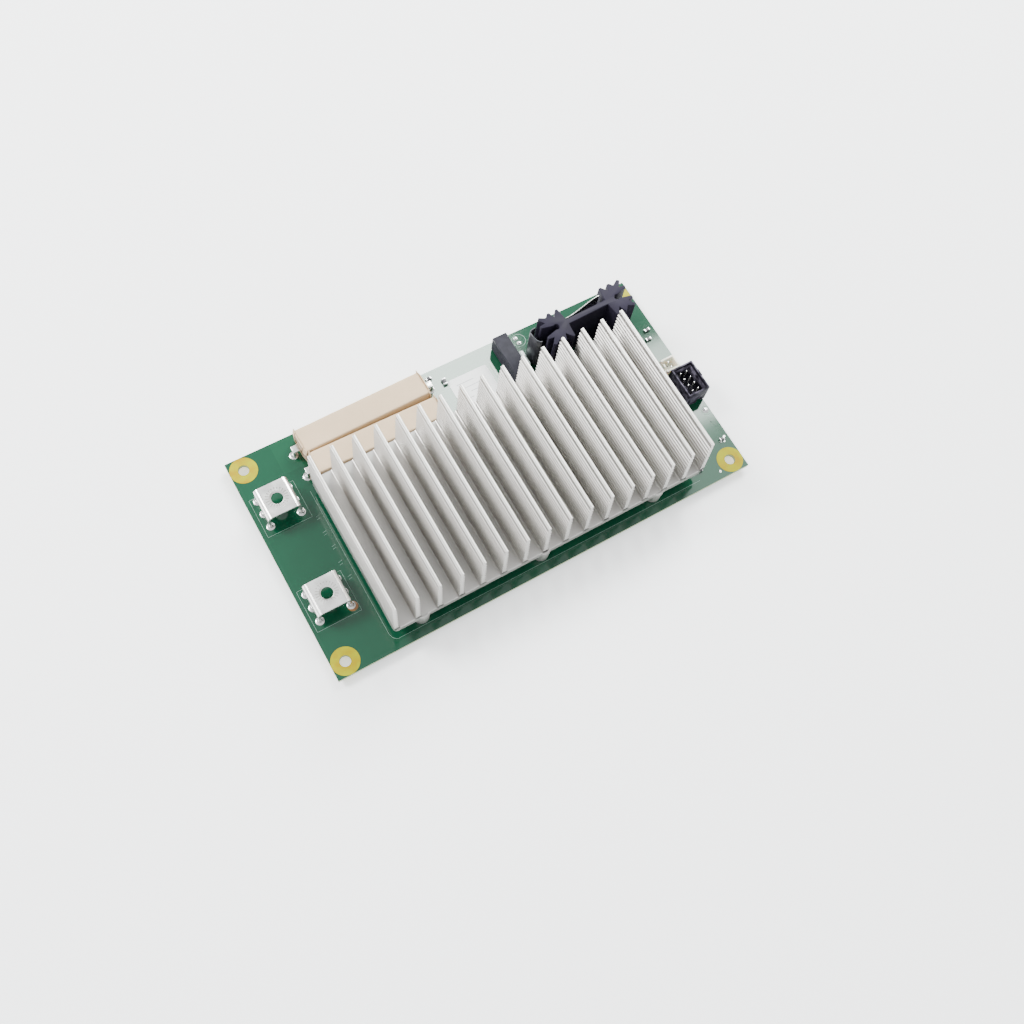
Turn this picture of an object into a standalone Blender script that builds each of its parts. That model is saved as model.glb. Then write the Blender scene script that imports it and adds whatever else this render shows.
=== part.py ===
"""Power control board: a circuit board with a large finned heat sink, two screw
terminals, two ceramic power resistors, a small star-finned heat sink and connectors.

All sizes are in millimetres on the board's own grid: x runs from the board's left edge,
y from its front edge and z from its top face. place() turns a point on that grid into
metres in the model's frame, whose origin is under the middle of the whole assembly.
"""
import math

import bmesh
import bpy
from mathutils import Matrix, Vector

MM = 0.001

# Driving dimensions, in millimetres
BOARD_LENGTH = 190.0
BOARD_WIDTH = 100.0
BOARD_THICKNESS = 1.6
BOARD_CLEARANCE = 2.4
HOLE_INSET = 5.7
HOLE_RADIUS = 2.2
LAND_RADIUS = 5.5
LAND_HEIGHT = 0.07
LATCH_OVERHANG = 1.2
CLEARANCE = 0.3
LEG_TIP = -2.8

SINK_LEFT = 26.3
SINK_FRONT = 5.0
SINK_BACK = 74.4
SINK_UNDERSIDE = 5.7
SINK_HEIGHT = 25.0
BASE_THICKNESS = 4.0
FIN_COUNT = 16
FIN_PITCH = 9.3
FIN_THICKNESS = 1.6
FIN_SETBACK = 1.5

BOSS_X = (39.0, 92.5, 146.0)
BOSS_Y = (SINK_FRONT + 2.45, SINK_BACK - 4.1)
BOSS_RADIUS = 3.25
SCREW_BORE = 1.75
SCREW_RADIUS = 1.45
SCREW_HEAD_RADIUS = 2.9
SCREW_DEPTH = 2.4
RECESS_RADIUS = 1.3
RECESS_DEPTH = 1.1

TRANSISTOR_X = (42.0, 64.0, 86.0, 108.0, 130.0, 152.0)
TRANSISTOR_Y = 41.0
TRANSISTOR_SIZE = (15.6, 20.0, 4.6)
LEG_PITCH = 5.45
LEG_SIZE = (1.2, 0.6)
THERMAL_PAD = (134.0, 26.0, 0.4)
PAD_GAP = 0.25
LEG_DROP_Y = TRANSISTOR_Y - 14.0
LEG_OVERLAP = 0.5

RESISTOR_LENGTH = 56.6
RESISTOR_HEIGHT = 9.3
RESISTORS = {"rear": (57.6, 91.6, 10.8, 0.9), "front": (58.4, 79.9, 9.8, -0.7)}
STRAP_WIDTH = 3.0
STRAP_THICKNESS = 0.8
STRAP_REACH = 3.6

TERMINALS = {"screw_terminal_1": (11.4, 73.7), "screw_terminal_2": (11.0, 30.2)}
TERMINAL_SIZE = (14.2, 13.6, 9.4)
TERMINAL_SHEET = 1.0
TERMINAL_BEND = 2.0
TERMINAL_HOLE = 2.4
TERMINAL_LEG_WIDTH = 1.6
TERMINAL_LEG_PITCH = 6.0

STAR_CENTRE = (156.3, 82.6)
STAR_TURN = 1.6
STAR_HEIGHT = 25.4
STAR_WEB = 1.15
STAR_REACH = 20.8
STAR_DEPTH = 7.1
STAR_CHANNEL_U = 15.0
STAR_CHANNEL_RADIUS = 1.25
STAR_PIN_RADIUS = 0.95

REGULATOR_BODY = (10.0, 4.4, 9.0)
REGULATOR_TAB = (10.0, 1.3, 5.0)
REGULATOR_LEG = (0.8, 0.5, 4.5)
REGULATOR_PITCH = 2.54
REGULATOR_LEVEL = 7.5
REGULATOR_TAB_LIFT = 1.0
REGULATOR_LEG_LIFT = 1.85

MODULE_CENTRE = (124.5, 87.3)
MODULE_SIZE = (6.5, 19.7, 8.7)
MODULE_PITCH = 2.54
MODULE_STANDOFF = 0.5
PIN_OVERLAP = 1.0
CAPACITOR_CENTRE = (129.9, 84.6)
CAPACITOR_SIZE = (2.4, 7.5, 5.6)

HEADER_CENTRE = (185.35, 41.9)
HEADER_SIZE = (10.3, 14.2, 10.1)
HEADER_WALL = 1.0
HEADER_FLOOR = 2.2
HEADER_PITCH = 3.0
HEADER_PIN = 0.64
HEADER_PIN_TOP = 8.6

WAFER_CENTRE = (183.9, 53.6)
WAFER_SIZE = (6.6, 6.2, 5.8)
WAFER_PIN_PITCH = 2.5

LABEL_CENTRE = (106.2, 84.1)
LABEL_SIZE = (18.6, 15.8, 0.25)

CHIPS = (
    (95.9, 92.3, 1.9, 3.0, 1.2),
    (90.6, 96.6, 2.6, 1.4, 0.9),
    (186.4, 74.2, 2.6, 1.4, 0.8),
    (184.6, 70.0, 2.6, 1.4, 0.8),
    (186.4, 14.9, 2.2, 1.3, 0.8),
    (169.7, 7.4, 2.6, 1.5, 1.0),
)

BOARD_TOP = BOARD_CLEARANCE + BOARD_THICKNESS
MIDDLE = Vector(((BOARD_LENGTH + LATCH_OVERHANG) / 2, BOARD_WIDTH / 2, -BOARD_TOP))

# Base colour, roughness and metallic value of each finish
FINISHES = {
    "board_green": ((0.035, 0.19, 0.11), 0.25, 0.0),
    "aluminium": ((0.62, 0.62, 0.60), 0.35, 1.0),
    "black_anodised": ((0.025, 0.022, 0.032), 0.45, 0.5),
    "ceramic": ((0.74, 0.66, 0.54), 0.85, 0.0),
    "tinned_steel": ((0.72, 0.71, 0.68), 0.28, 1.0),
    "spring_steel": ((0.33, 0.34, 0.33), 0.3, 1.0),
    "zinc_steel": ((0.55, 0.56, 0.56), 0.35, 1.0),
    "black_plastic": ((0.02, 0.02, 0.022), 0.5, 0.0),
    "grey_epoxy": ((0.12, 0.125, 0.145), 0.4, 0.0),
    "ivory_plastic": ((0.82, 0.80, 0.70), 0.45, 0.0),
    "pale_film": ((0.62, 0.72, 0.68), 0.3, 0.0),
    "thermal_grey": ((0.36, 0.36, 0.38), 0.8, 0.0),
    "label_white": ((0.88, 0.88, 0.88), 0.6, 0.0),
}


def start_clean():
    for item in list(bpy.data.objects):
        bpy.data.objects.remove(item)


def new_collection(name):
    collection = bpy.data.collections.new(name)
    bpy.context.scene.collection.children.link(collection)
    return collection


def finish_material(name):
    """One Principled material for each finish, made when it is first asked for."""
    material = bpy.data.materials.get(name)
    if material is None:
        colour, roughness, metallic = FINISHES[name]
        material = bpy.data.materials.new(name)
        material.use_nodes = True
        shader = material.node_tree.nodes["Principled BSDF"]
        shader.inputs["Base Color"].default_value = (*colour, 1.0)
        shader.inputs["Roughness"].default_value = roughness
        shader.inputs["Metallic"].default_value = metallic
    return material


def place(x, y, z):
    """A point on the board's grid, in metres in the model's frame."""
    return (Vector((x, y, z)) - MIDDLE) * MM


def add_object(name, mesh, finish, location, turn=0.0):
    """An object at a point on the board's grid, turned by degrees about Z."""
    item = bpy.data.objects.new(name, mesh)
    item.location = place(*location)
    item.rotation_euler.z = math.radians(turn)
    if finish:
        mesh.materials.append(finish_material(finish))
        PARTS.objects.link(item)
    else:
        CUTTERS.objects.link(item)
        item.hide_render = True
        item.display_type = "WIRE"
    return item


def mesh_from(bm, name):
    mesh = bpy.data.meshes.new(name)
    bm.to_mesh(mesh)
    bm.free()
    return mesh


def soften(item, width, segments=2, angle=40.0):
    bevel = item.modifiers.new("Soft edges", "BEVEL")
    bevel.width = width * MM
    bevel.segments = segments
    bevel.limit_method = "ANGLE"
    bevel.angle_limit = math.radians(angle)
    return item


def block(name, size, centre, finish, turn=0.0, edge=0.0):
    """A box of the given size about its centre, with softened edges."""
    bm = bmesh.new()
    bmesh.ops.create_cube(bm, size=1.0)
    bmesh.ops.scale(bm, vec=Vector(size) * MM, verts=bm.verts)
    item = add_object(name, mesh_from(bm, name), finish, centre, turn)
    if edge:
        soften(item, edge)
    return item


def rod(name, radius, low, high, x, y, finish, sides=24):
    """An upright cylinder from one height to another."""
    bm = bmesh.new()
    bmesh.ops.create_cone(
        bm, cap_ends=True, segments=sides, radius1=radius * MM, radius2=radius * MM, depth=(high - low) * MM
    )
    item = add_object(name, mesh_from(bm, name), finish, (x, y, (low + high) / 2))
    item.data.shade_smooth()
    item.data.set_sharp_from_angle(angle=math.radians(40))
    return item


def extrusion(name, outlines, depth, finish, location, turn=0.0, lie=None):
    """Closed outlines, the first one outside and the rest holes, extruded to a solid.

    The outline lies in the XY plane and is extruded along Z. lie turns the solid first:
    "back" puts the outline in the XZ plane, and the extrusion along Y.
    """
    curve = bpy.data.curves.new(name + " outline", "CURVE")
    curve.dimensions = "2D"
    curve.fill_mode = "BOTH"
    curve.extrude = depth / 2 * MM
    for points in outlines:
        spline = curve.splines.new("POLY")
        spline.points.add(len(points) - 1)
        for point, (u, v) in zip(spline.points, points):
            point.co = (u * MM, v * MM, 0.0, 1.0)
        spline.use_cyclic_u = True
    outline = bpy.data.objects.new(name + " outline", curve)
    bpy.context.scene.collection.objects.link(outline)
    if lie == "back":
        outline.rotation_euler.x = math.radians(90)
    bpy.context.view_layer.update()
    evaluated = outline.evaluated_get(bpy.context.evaluated_depsgraph_get())
    mesh = bpy.data.meshes.new_from_object(evaluated)
    mesh.transform(outline.matrix_world)
    bpy.data.objects.remove(outline)
    bm = bmesh.new()
    bm.from_mesh(mesh)
    bmesh.ops.remove_doubles(bm, verts=bm.verts, dist=1e-7)
    bmesh.ops.recalc_face_normals(bm, faces=bm.faces)
    bm.to_mesh(mesh)
    bm.free()
    mesh.materials.clear()
    return add_object(name, mesh, finish, location, turn)


def combine(item, other, operation="DIFFERENCE"):
    """Cuts other from item or joins it on, and hides other among the cutters."""
    if other.name in PARTS.objects:
        PARTS.objects.unlink(other)
        CUTTERS.objects.link(other)
        other.hide_render = True
        other.display_type = "WIRE"
    boolean = item.modifiers.new(other.name, "BOOLEAN")
    boolean.operation = operation
    boolean.solver = "EXACT"
    boolean.object = other
    return item


def circle(x, y, radius, sides=16):
    angles = [2 * math.pi * i / sides for i in range(sides)]
    return [(x + radius * math.cos(a), y + radius * math.sin(a)) for a in angles]


def rectangle(x, y, width, height):
    w = width / 2
    h = height / 2
    return [(x - w, y - h), (x + w, y - h), (x + w, y + h), (x - w, y + h)]


def strap_x(side):
    """Where a resistor strap goes down, from the resistor's middle; side is -1 or 1."""
    return side * (RESISTOR_LENGTH / 2 + STRAP_REACH - STRAP_THICKNESS / 2)


def header_pins():
    x, y = HEADER_CENTRE
    rows = [x + HEADER_PITCH * (i - 0.5) for i in range(2)]
    columns = [y + HEADER_PITCH * (i - 1.5) for i in range(4)]
    return [(row, column) for row in rows for column in columns]


def wafer_pins():
    x, y = WAFER_CENTRE
    return [(x, y + WAFER_PIN_PITCH * (i - 0.5)) for i in range(2)]


def star_point(u, v):
    """A point of the star heat sink's own axes, on the board's grid."""
    turned = Matrix.Rotation(math.radians(STAR_TURN), 2) @ Vector((u, v))
    return STAR_CENTRE[0] + turned.x, STAR_CENTRE[1] + turned.y


def module_pins():
    x, y = MODULE_CENTRE
    return [(x, y + MODULE_PITCH * i) for i in (-3, -2, 1, 3)]


def slot_holes():
    """The board's slots for flat legs and its round holes for pins."""
    gap = 2 * CLEARANCE
    holes = []
    for x, y in TERMINALS.values():
        for side in (-1, 1):
            leg_x = x + side * (TERMINAL_SIZE[0] - TERMINAL_SHEET) / 2
            for step in (-1, 0, 1):
                leg_y = y + step * TERMINAL_LEG_PITCH
                holes.append(rectangle(leg_x, leg_y, TERMINAL_SHEET + gap, TERMINAL_LEG_WIDTH + gap))
    for x, y, _, turn in RESISTORS.values():
        for side in (-1, 1):
            reach = strap_x(side)
            strap_y = y + reach * math.sin(math.radians(turn))
            holes.append(rectangle(x + reach, strap_y, STRAP_THICKNESS + gap, STRAP_WIDTH + gap + 0.2))
    for x in TRANSISTOR_X:
        for step in (-1, 0, 1):
            holes.append(rectangle(x + step * LEG_PITCH, LEG_DROP_Y, LEG_SIZE[0] + gap, LEG_SIZE[1] + gap))
    for x, y in header_pins() + wafer_pins() + module_pins():
        holes.append(rectangle(x, y, HEADER_PIN + gap, HEADER_PIN + gap))
    for side in (-1, 1):
        holes.append(circle(*star_point(side * STAR_CHANNEL_U, 0), STAR_PIN_RADIUS + CLEARANCE, 12))
    return holes


def make_board():
    size = (BOARD_LENGTH, BOARD_WIDTH, BOARD_THICKNESS)
    board = block("circuit_board", size, (size[0] / 2, size[1] / 2, -size[2] / 2), "board_green")
    holes = slot_holes()
    for x in BOSS_X:
        for y in BOSS_Y:
            holes.append(circle(x, y, SCREW_BORE))
    slots = extrusion("board hole cutters", holes, 6, None, (0, 0, 0))
    combine(board, slots)
    add_corner_lands(board)


def add_corner_lands(board):
    """Plated rings that stand slightly proud on both faces, and the screw holes through them."""
    low = -BOARD_THICKNESS - LAND_HEIGHT
    number = 0
    for x in (HOLE_INSET, BOARD_LENGTH - HOLE_INSET):
        for y in (HOLE_INSET, BOARD_WIDTH - HOLE_INSET):
            number += 1
            land = rod(f"land {number}", LAND_RADIUS, low, LAND_HEIGHT, x, y, None, 32)
            hole = rod(f"corner hole {number}", HOLE_RADIUS, low - 1, LAND_HEIGHT + 1, x, y, None)
            combine(board, land, "UNION")
            combine(board, hole)


def comb_outline():
    """The heat sink's section: a flat base with upright fins, from its lower left corner."""
    width = (FIN_COUNT - 1) * FIN_PITCH + FIN_THICKNESS
    points = [(0, 0), (width, 0)]
    for fin in reversed(range(FIN_COUNT)):
        left = fin * FIN_PITCH
        right = left + FIN_THICKNESS
        if fin < FIN_COUNT - 1:
            points.append((right, BASE_THICKNESS))
        points.append((right, SINK_HEIGHT))
        points.append((left, SINK_HEIGHT))
        if fin:
            points.append((left, BASE_THICKNESS))
    return points


def make_heatsink():
    length = SINK_BACK - SINK_FRONT
    middle = (SINK_FRONT + SINK_BACK) / 2
    sink = extrusion(
        "heatsink", [comb_outline()], length, "aluminium", (SINK_LEFT, middle, SINK_UNDERSIDE), lie="back"
    )
    base_top = SINK_UNDERSIDE + BASE_THICKNESS
    rise = SINK_HEIGHT - BASE_THICKNESS + 2
    slope = [(-0.3, -0.2), (FIN_SETBACK, rise), (-10, rise), (-10, -0.2)]
    setback = extrusion(
        "fin front cutter", [slope], BOARD_LENGTH, None,
        (BOARD_LENGTH / 2, SINK_FRONT, base_top), 90.0, "back",
    )
    combine(sink, setback)
    number = 0
    for x in BOSS_X:
        for y in BOSS_Y:
            number += 1
            boss = rod(f"boss {number}", BOSS_RADIUS, CLEARANCE, base_top - 0.5, x, y, None)
            bore_top = SINK_UNDERSIDE + SCREW_DEPTH + CLEARANCE
            bore = rod(f"bore {number}", SCREW_BORE, -1, bore_top, x, y, None, 16)
            combine(sink, boss, "UNION")
            combine(sink, bore)
            make_screw(f"heatsink_screw_{number}", x, y)


def make_screw(name, x, y):
    """A pan-head screw from below; the heads are the feet that the board stands on."""
    head_top = -BOARD_THICKNESS - CLEARANCE
    screw = rod(name, SCREW_RADIUS, head_top - 0.5, SINK_UNDERSIDE + SCREW_DEPTH, x, y, "zinc_steel", 16)
    head = rod(name + " head", SCREW_HEAD_RADIUS, -BOARD_TOP, head_top, x, y, None, 24)
    soften(head, 0.5)
    recess_top = -BOARD_TOP + RECESS_DEPTH
    recess = rod(name + " recess", RECESS_RADIUS, -BOARD_TOP - 1, recess_top, x, y, None, 6)
    combine(screw, head, "UNION")
    combine(screw, recess)


def bent_leg(name, start, reach, drop_to, width, thickness, finish, side_view="YZ", along=1, turn=0.0):
    """A flat lead that runs out level from start, then goes straight down to drop_to.

    It is an L-shaped outline in a vertical plane, given its width across that plane.
    """
    x, y, z = start
    outline = [
        (0, thickness / 2), (along * reach, thickness / 2), (along * reach, drop_to - z),
        (along * (reach - thickness), drop_to - z), (along * (reach - thickness), -thickness / 2),
        (0, -thickness / 2),
    ]
    if side_view == "YZ":
        turn = turn + 90.0
    return extrusion(name, [outline], width, finish, (x, y, z), turn, lie="back")


def make_power_transistors():
    """Flat power transistors that lie under the heat sink, their backs against the pad."""
    _, length, height = TRANSISTOR_SIZE
    z = CLEARANCE + height / 2
    front = TRANSISTOR_Y - length / 2
    root = front + LEG_OVERLAP
    reach = root - LEG_DROP_Y + LEG_SIZE[1] / 2
    for number, x in enumerate(TRANSISTOR_X, 1):
        name = f"power_transistor_{number}"
        body = block(name, TRANSISTOR_SIZE, (x, TRANSISTOR_Y, z), "black_plastic")
        soften(body, 0.3, 1)
        for step in (-1, 0, 1):
            start = (x + step * LEG_PITCH, root, z)
            leg = bent_leg(f"{name} leg {step}", start, reach, LEG_TIP, *LEG_SIZE, None, "YZ", -1)
            combine(body, leg, "UNION")
    middle = (TRANSISTOR_X[0] + TRANSISTOR_X[-1]) / 2
    level = CLEARANCE + height + PAD_GAP + THERMAL_PAD[2] / 2
    block("thermal_pad", THERMAL_PAD, (middle, TRANSISTOR_Y, level), "thermal_grey")


def make_resistors():
    """Two ceramic-cased resistors side by side, each held by a bent strap at both ends."""
    z = CLEARANCE + RESISTOR_HEIGHT / 2
    for label, (x, y, depth, turn) in RESISTORS.items():
        size = (RESISTOR_LENGTH, depth, RESISTOR_HEIGHT)
        block(f"power_resistor_{label}", size, (x, y, z), "ceramic", turn, 0.5)
        for side, word in ((-1, "left"), (1, "right")):
            out = side * (RESISTOR_LENGTH / 2 + CLEARANCE)
            angle = math.radians(turn)
            start = (x + out * math.cos(angle), y + out * math.sin(angle), z)
            bent_leg(
                f"resistor_strap_{label}_{word}", start, STRAP_REACH - CLEARANCE, LEG_TIP, STRAP_WIDTH,
                STRAP_THICKNESS, "tinned_steel", "XZ", side, turn,
            )


def arch_outline():
    """The terminal's section: a sheet bent down on both sides, from its lower left corner."""
    width, _, height = TERMINAL_SIZE
    half = width / 2
    outer = []
    inner = []
    for step in range(6):
        angle = math.radians(180 - 18 * step)
        centre = (-half + TERMINAL_BEND, height - TERMINAL_BEND)
        across = math.cos(angle)
        up = math.sin(angle)
        small = TERMINAL_BEND - TERMINAL_SHEET
        outer.append((centre[0] + TERMINAL_BEND * across, centre[1] + TERMINAL_BEND * up))
        inner.append((centre[0] + small * across, centre[1] + small * up))
    left = [(-half, LEG_TIP)] + outer
    right = [(-u, v) for u, v in reversed(left)]
    inner_left = [(-half + TERMINAL_SHEET, LEG_TIP)] + inner
    inner_right = [(-u, v) for u, v in inner_left]
    return left + right + inner_right + list(reversed(inner_left))


def make_terminals():
    """Formed sheet terminals: a flat plate with a screw hole, on six legs."""
    for name, (x, y) in TERMINALS.items():
        sheet = extrusion(name, [arch_outline()], TERMINAL_SIZE[1], "tinned_steel", (x, y, 0), lie="back")
        hole = rod(name + " hole", TERMINAL_HOLE, 4, 20, x, y, None)
        combine(sheet, hole)
        gap = TERMINAL_LEG_PITCH - TERMINAL_LEG_WIDTH
        for step in (-0.5, 0.5):
            window = block(
                f"{name} window {step}", (30, gap, 10), (x, y + step * TERMINAL_LEG_PITCH, 1.9 - 5), None
            )
            combine(sheet, window)


def star_quarter():
    """A quarter of the star section, from the web out to its left end.

    Four fins fan out from the star, and the last points follow the round channel that
    holds the solder pin.
    """
    deep = STAR_DEPTH
    points = [(-9.6, STAR_WEB), (-10.3, deep), (-11.3, deep), (-13.3, 4.3), (-14.3, deep), (-15.3, deep)]
    points += [(-16.6, 5.5), (-19.3, deep), (-20.3, deep - 0.9), (-18.3, 3.7), (-STAR_REACH, 3.4)]
    points += [(-STAR_REACH, 2.2), (-16.9, 1.25)]
    for step in range(6):
        angle = math.radians(125 - 25 * step)
        u = -STAR_CHANNEL_U + STAR_CHANNEL_RADIUS * math.cos(angle)
        points.append((u, STAR_CHANNEL_RADIUS * math.sin(angle)))
    return points


def make_star_heatsink():
    quarter = star_quarter()
    upper = [(-u, v) for u, v in reversed(quarter)] + quarter
    lower = [(u, -v) for u, v in reversed(upper)]
    extrusion(
        "star_heatsink", [upper + lower[1:-1]], STAR_HEIGHT - CLEARANCE, "black_anodised",
        (*STAR_CENTRE, (CLEARANCE + STAR_HEIGHT) / 2), STAR_TURN,
    )
    for number, side in enumerate((-1, 1), 1):
        x, y = star_point(side * STAR_CHANNEL_U, 0)
        rod(f"star_heatsink_pin_{number}", STAR_PIN_RADIUS, LEG_TIP, 7.0, x, y, "tinned_steel", 16)


def ribbon(path, thickness):
    """A closed outline that follows a path with the given thickness."""
    left = []
    right = []
    for i, (u, v) in enumerate(path):
        before = path[max(i - 1, 0)]
        after = path[min(i + 1, len(path) - 1)]
        run = Vector((after[0] - before[0], after[1] - before[1])).normalized()
        offset = Vector((-run.y, run.x)) * thickness / 2
        left.append((u + offset.x, v + offset.y))
        right.append((u - offset.x, v - offset.y))
    return left + list(reversed(right))


def make_springs():
    """A bowed leaf between the stars and a hook round the left star, on the star's axes."""
    leaf = []
    for step in range(13):
        share = step / 12
        leaf.append((-8.9 + 18.0 * share, 2.0 + 2.6 * share * share * (3 - 2 * share)))
    extrusion(
        "leaf_spring", [ribbon(leaf, 0.5)], 8.5, "spring_steel", (*STAR_CENTRE, 20.2), STAR_TURN
    )
    hook = [(-21.0, 5.6), (-22.0, 5.7)]
    for step in range(7):
        angle = math.radians(90 + 15 * step)
        hook.append((-22.6 + 1.6 * math.cos(angle), 4.0 + 1.6 * math.sin(angle)))
    hook += [(-24.0, 2.0), (-23.6, 0.4), (-22.9, -0.8), (-22.0, -1.2)]
    extrusion(
        "hook_spring", [ribbon(hook, 0.5)], 19.0, "spring_steel", (*STAR_CENTRE, 11.7), STAR_TURN
    )


def make_regulator():
    """A small transistor behind the star's web, below the leaf spring."""
    back = STAR_WEB + CLEARANCE
    v = back + REGULATOR_BODY[1] / 2
    x, y = star_point(0, v)
    body = block("regulator", REGULATOR_BODY, (x, y, REGULATOR_LEVEL), "black_plastic", STAR_TURN)
    soften(body, 0.25, 1)
    tab_x, tab_y = star_point(0, back + REGULATOR_TAB[1] / 2)
    tab_level = REGULATOR_LEVEL + REGULATOR_BODY[2] / 2 + REGULATOR_TAB_LIFT
    tab = block("regulator tab", REGULATOR_TAB, (tab_x, tab_y, tab_level), None, STAR_TURN)
    combine(body, tab, "UNION")
    leg_level = REGULATOR_LEVEL - (REGULATOR_BODY[2] + REGULATOR_LEG[2]) / 2 + REGULATOR_LEG_LIFT
    for step in (-1, 0, 1):
        leg_x, leg_y = star_point(REGULATOR_PITCH * step, v)
        leg = block(f"regulator leg {step}", REGULATOR_LEG, (leg_x, leg_y, leg_level), None, STAR_TURN)
        combine(body, leg, "UNION")


def make_module():
    """A slim dark converter module on four pins, and a film capacitor beside it."""
    x, y = MODULE_CENTRE
    low = MODULE_STANDOFF
    body = block("converter_module", MODULE_SIZE, (x, y, low + MODULE_SIZE[2] / 2), "grey_epoxy")
    soften(body, 0.25, 1)
    for number, (pin_x, pin_y) in enumerate(module_pins()):
        height = low + PIN_OVERLAP - LEG_TIP
        size = (HEADER_PIN, HEADER_PIN, height)
        pin = block(f"module pin {number}", size, (pin_x, pin_y, LEG_TIP + height / 2), None)
        combine(body, pin, "UNION")
    x, y = CAPACITOR_CENTRE
    level = CLEARANCE + CAPACITOR_SIZE[2] / 2
    block("film_capacitor", CAPACITOR_SIZE, (x, y, level), "pale_film", 0.0, 0.5)


def open_box(name, centre, size, wall, floor, finish):
    """A box with an open top that stands just above the board."""
    x, y = centre
    width, length, height = size
    shell = block(name, size, (x, y, CLEARANCE + height / 2), finish)
    cavity_low = CLEARANCE + floor
    cavity = block(
        name + " cavity", (width - 2 * wall, length - 2 * wall, 20), (x, y, cavity_low + 10), None
    )
    combine(shell, cavity)
    return shell


def add_pins(shell, name, pins, top):
    """Upright square pins, each through its own hole in the shell's floor."""
    for number, (x, y) in enumerate(pins, 1):
        side = HEADER_PIN + 2 * CLEARANCE
        hole = block(f"{name} hole {number}", (side, side, 12), (x, y, 0), None)
        combine(shell, hole)
        size = (HEADER_PIN, HEADER_PIN, top - LEG_TIP)
        block(f"{name}_{number}", size, (x, y, (top + LEG_TIP) / 2), "tinned_steel")


def make_header():
    shell = open_box("header_shell", HEADER_CENTRE, HEADER_SIZE, HEADER_WALL, HEADER_FLOOR, "black_plastic")
    x, y = HEADER_CENTRE
    outside = BOARD_LENGTH + LATCH_OVERHANG
    inner = x + HEADER_SIZE[0] / 2 - 0.4
    latch = block("header latch", (outside - inner, 3.2, 3.0), ((outside + inner) / 2, y + 0.9, 8.4), None)
    combine(shell, latch, "UNION")
    notch = block("header notch", (2.6, 4, 1.6), (x + 1.2, y - HEADER_SIZE[1] / 2, CLEARANCE), None)
    combine(shell, notch)
    add_pins(shell, "header_pin", header_pins(), HEADER_PIN_TOP)


def make_wafer():
    shell = open_box("wafer_housing", WAFER_CENTRE, WAFER_SIZE, 0.8, 1.6, "ivory_plastic")
    add_pins(shell, "wafer_pin", wafer_pins(), 5.2)


def make_small_parts():
    block("board_label", LABEL_SIZE, (*LABEL_CENTRE, CLEARANCE + LABEL_SIZE[2] / 2), "label_white")
    for number, (x, y, width, length, height) in enumerate(CHIPS, 1):
        size = (width, length, height)
        block(f"chip_part_{number}", size, (x, y, CLEARANCE + height / 2), "grey_epoxy")


start_clean()
PARTS = new_collection("power control board")
CUTTERS = new_collection("cutters")
make_board()
make_heatsink()
make_power_transistors()
make_resistors()
make_terminals()
make_star_heatsink()
make_springs()
make_regulator()
make_module()
make_header()
make_wafer()
make_small_parts()
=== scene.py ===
import math
import random

import bmesh
import bpy
from mathutils import Matrix, Vector, noise


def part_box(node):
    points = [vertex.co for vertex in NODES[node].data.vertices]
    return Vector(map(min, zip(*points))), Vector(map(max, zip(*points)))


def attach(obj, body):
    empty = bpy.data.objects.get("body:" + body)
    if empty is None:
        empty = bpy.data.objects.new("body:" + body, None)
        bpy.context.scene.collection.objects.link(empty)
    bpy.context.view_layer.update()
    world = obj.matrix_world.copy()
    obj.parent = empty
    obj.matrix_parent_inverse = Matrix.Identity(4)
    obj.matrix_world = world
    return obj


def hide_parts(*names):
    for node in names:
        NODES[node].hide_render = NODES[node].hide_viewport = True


bl_info = {
    "name": "Power Control Board",
    "version": (1, 0, 0),
    "blender": (4, 5, 0),
    "location": "3D View > Sidebar > Power Board",
    "description": "Adds the detailed pieces of a heat-sinked power control board",
    "category": "Add Mesh",
}

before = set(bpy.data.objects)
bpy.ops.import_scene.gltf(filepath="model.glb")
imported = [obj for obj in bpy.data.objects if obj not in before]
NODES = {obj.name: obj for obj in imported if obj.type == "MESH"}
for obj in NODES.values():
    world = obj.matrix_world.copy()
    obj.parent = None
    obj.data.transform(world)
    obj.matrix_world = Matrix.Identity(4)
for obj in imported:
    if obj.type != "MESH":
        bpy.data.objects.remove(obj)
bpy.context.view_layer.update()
MM = 0.001

BOARD_LOW, BOARD_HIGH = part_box("circuit_board")
LAND_HEIGHT = 0.07 * MM
BOARD_TOP = BOARD_HIGH.z - LAND_HEIGHT
BOARD_UNDERSIDE = BOARD_LOW.z + LAND_HEIGHT
SINK_LOW, SINK_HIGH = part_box("heatsink")


# ---------------------------------------------------------------------------
# Settings a user would change
# ---------------------------------------------------------------------------

def colour_property(name, description, default):
    return bpy.props.FloatVectorProperty(
        name=name, description=description, default=default, size=3, min=0.0, max=1.0, subtype="COLOR"
    )


def length_property(name, description, default, low=0.0, high=0.1):
    return bpy.props.FloatProperty(
        name=name, description=description, default=default, min=low, max=high, unit="LENGTH", precision=5
    )


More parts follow.
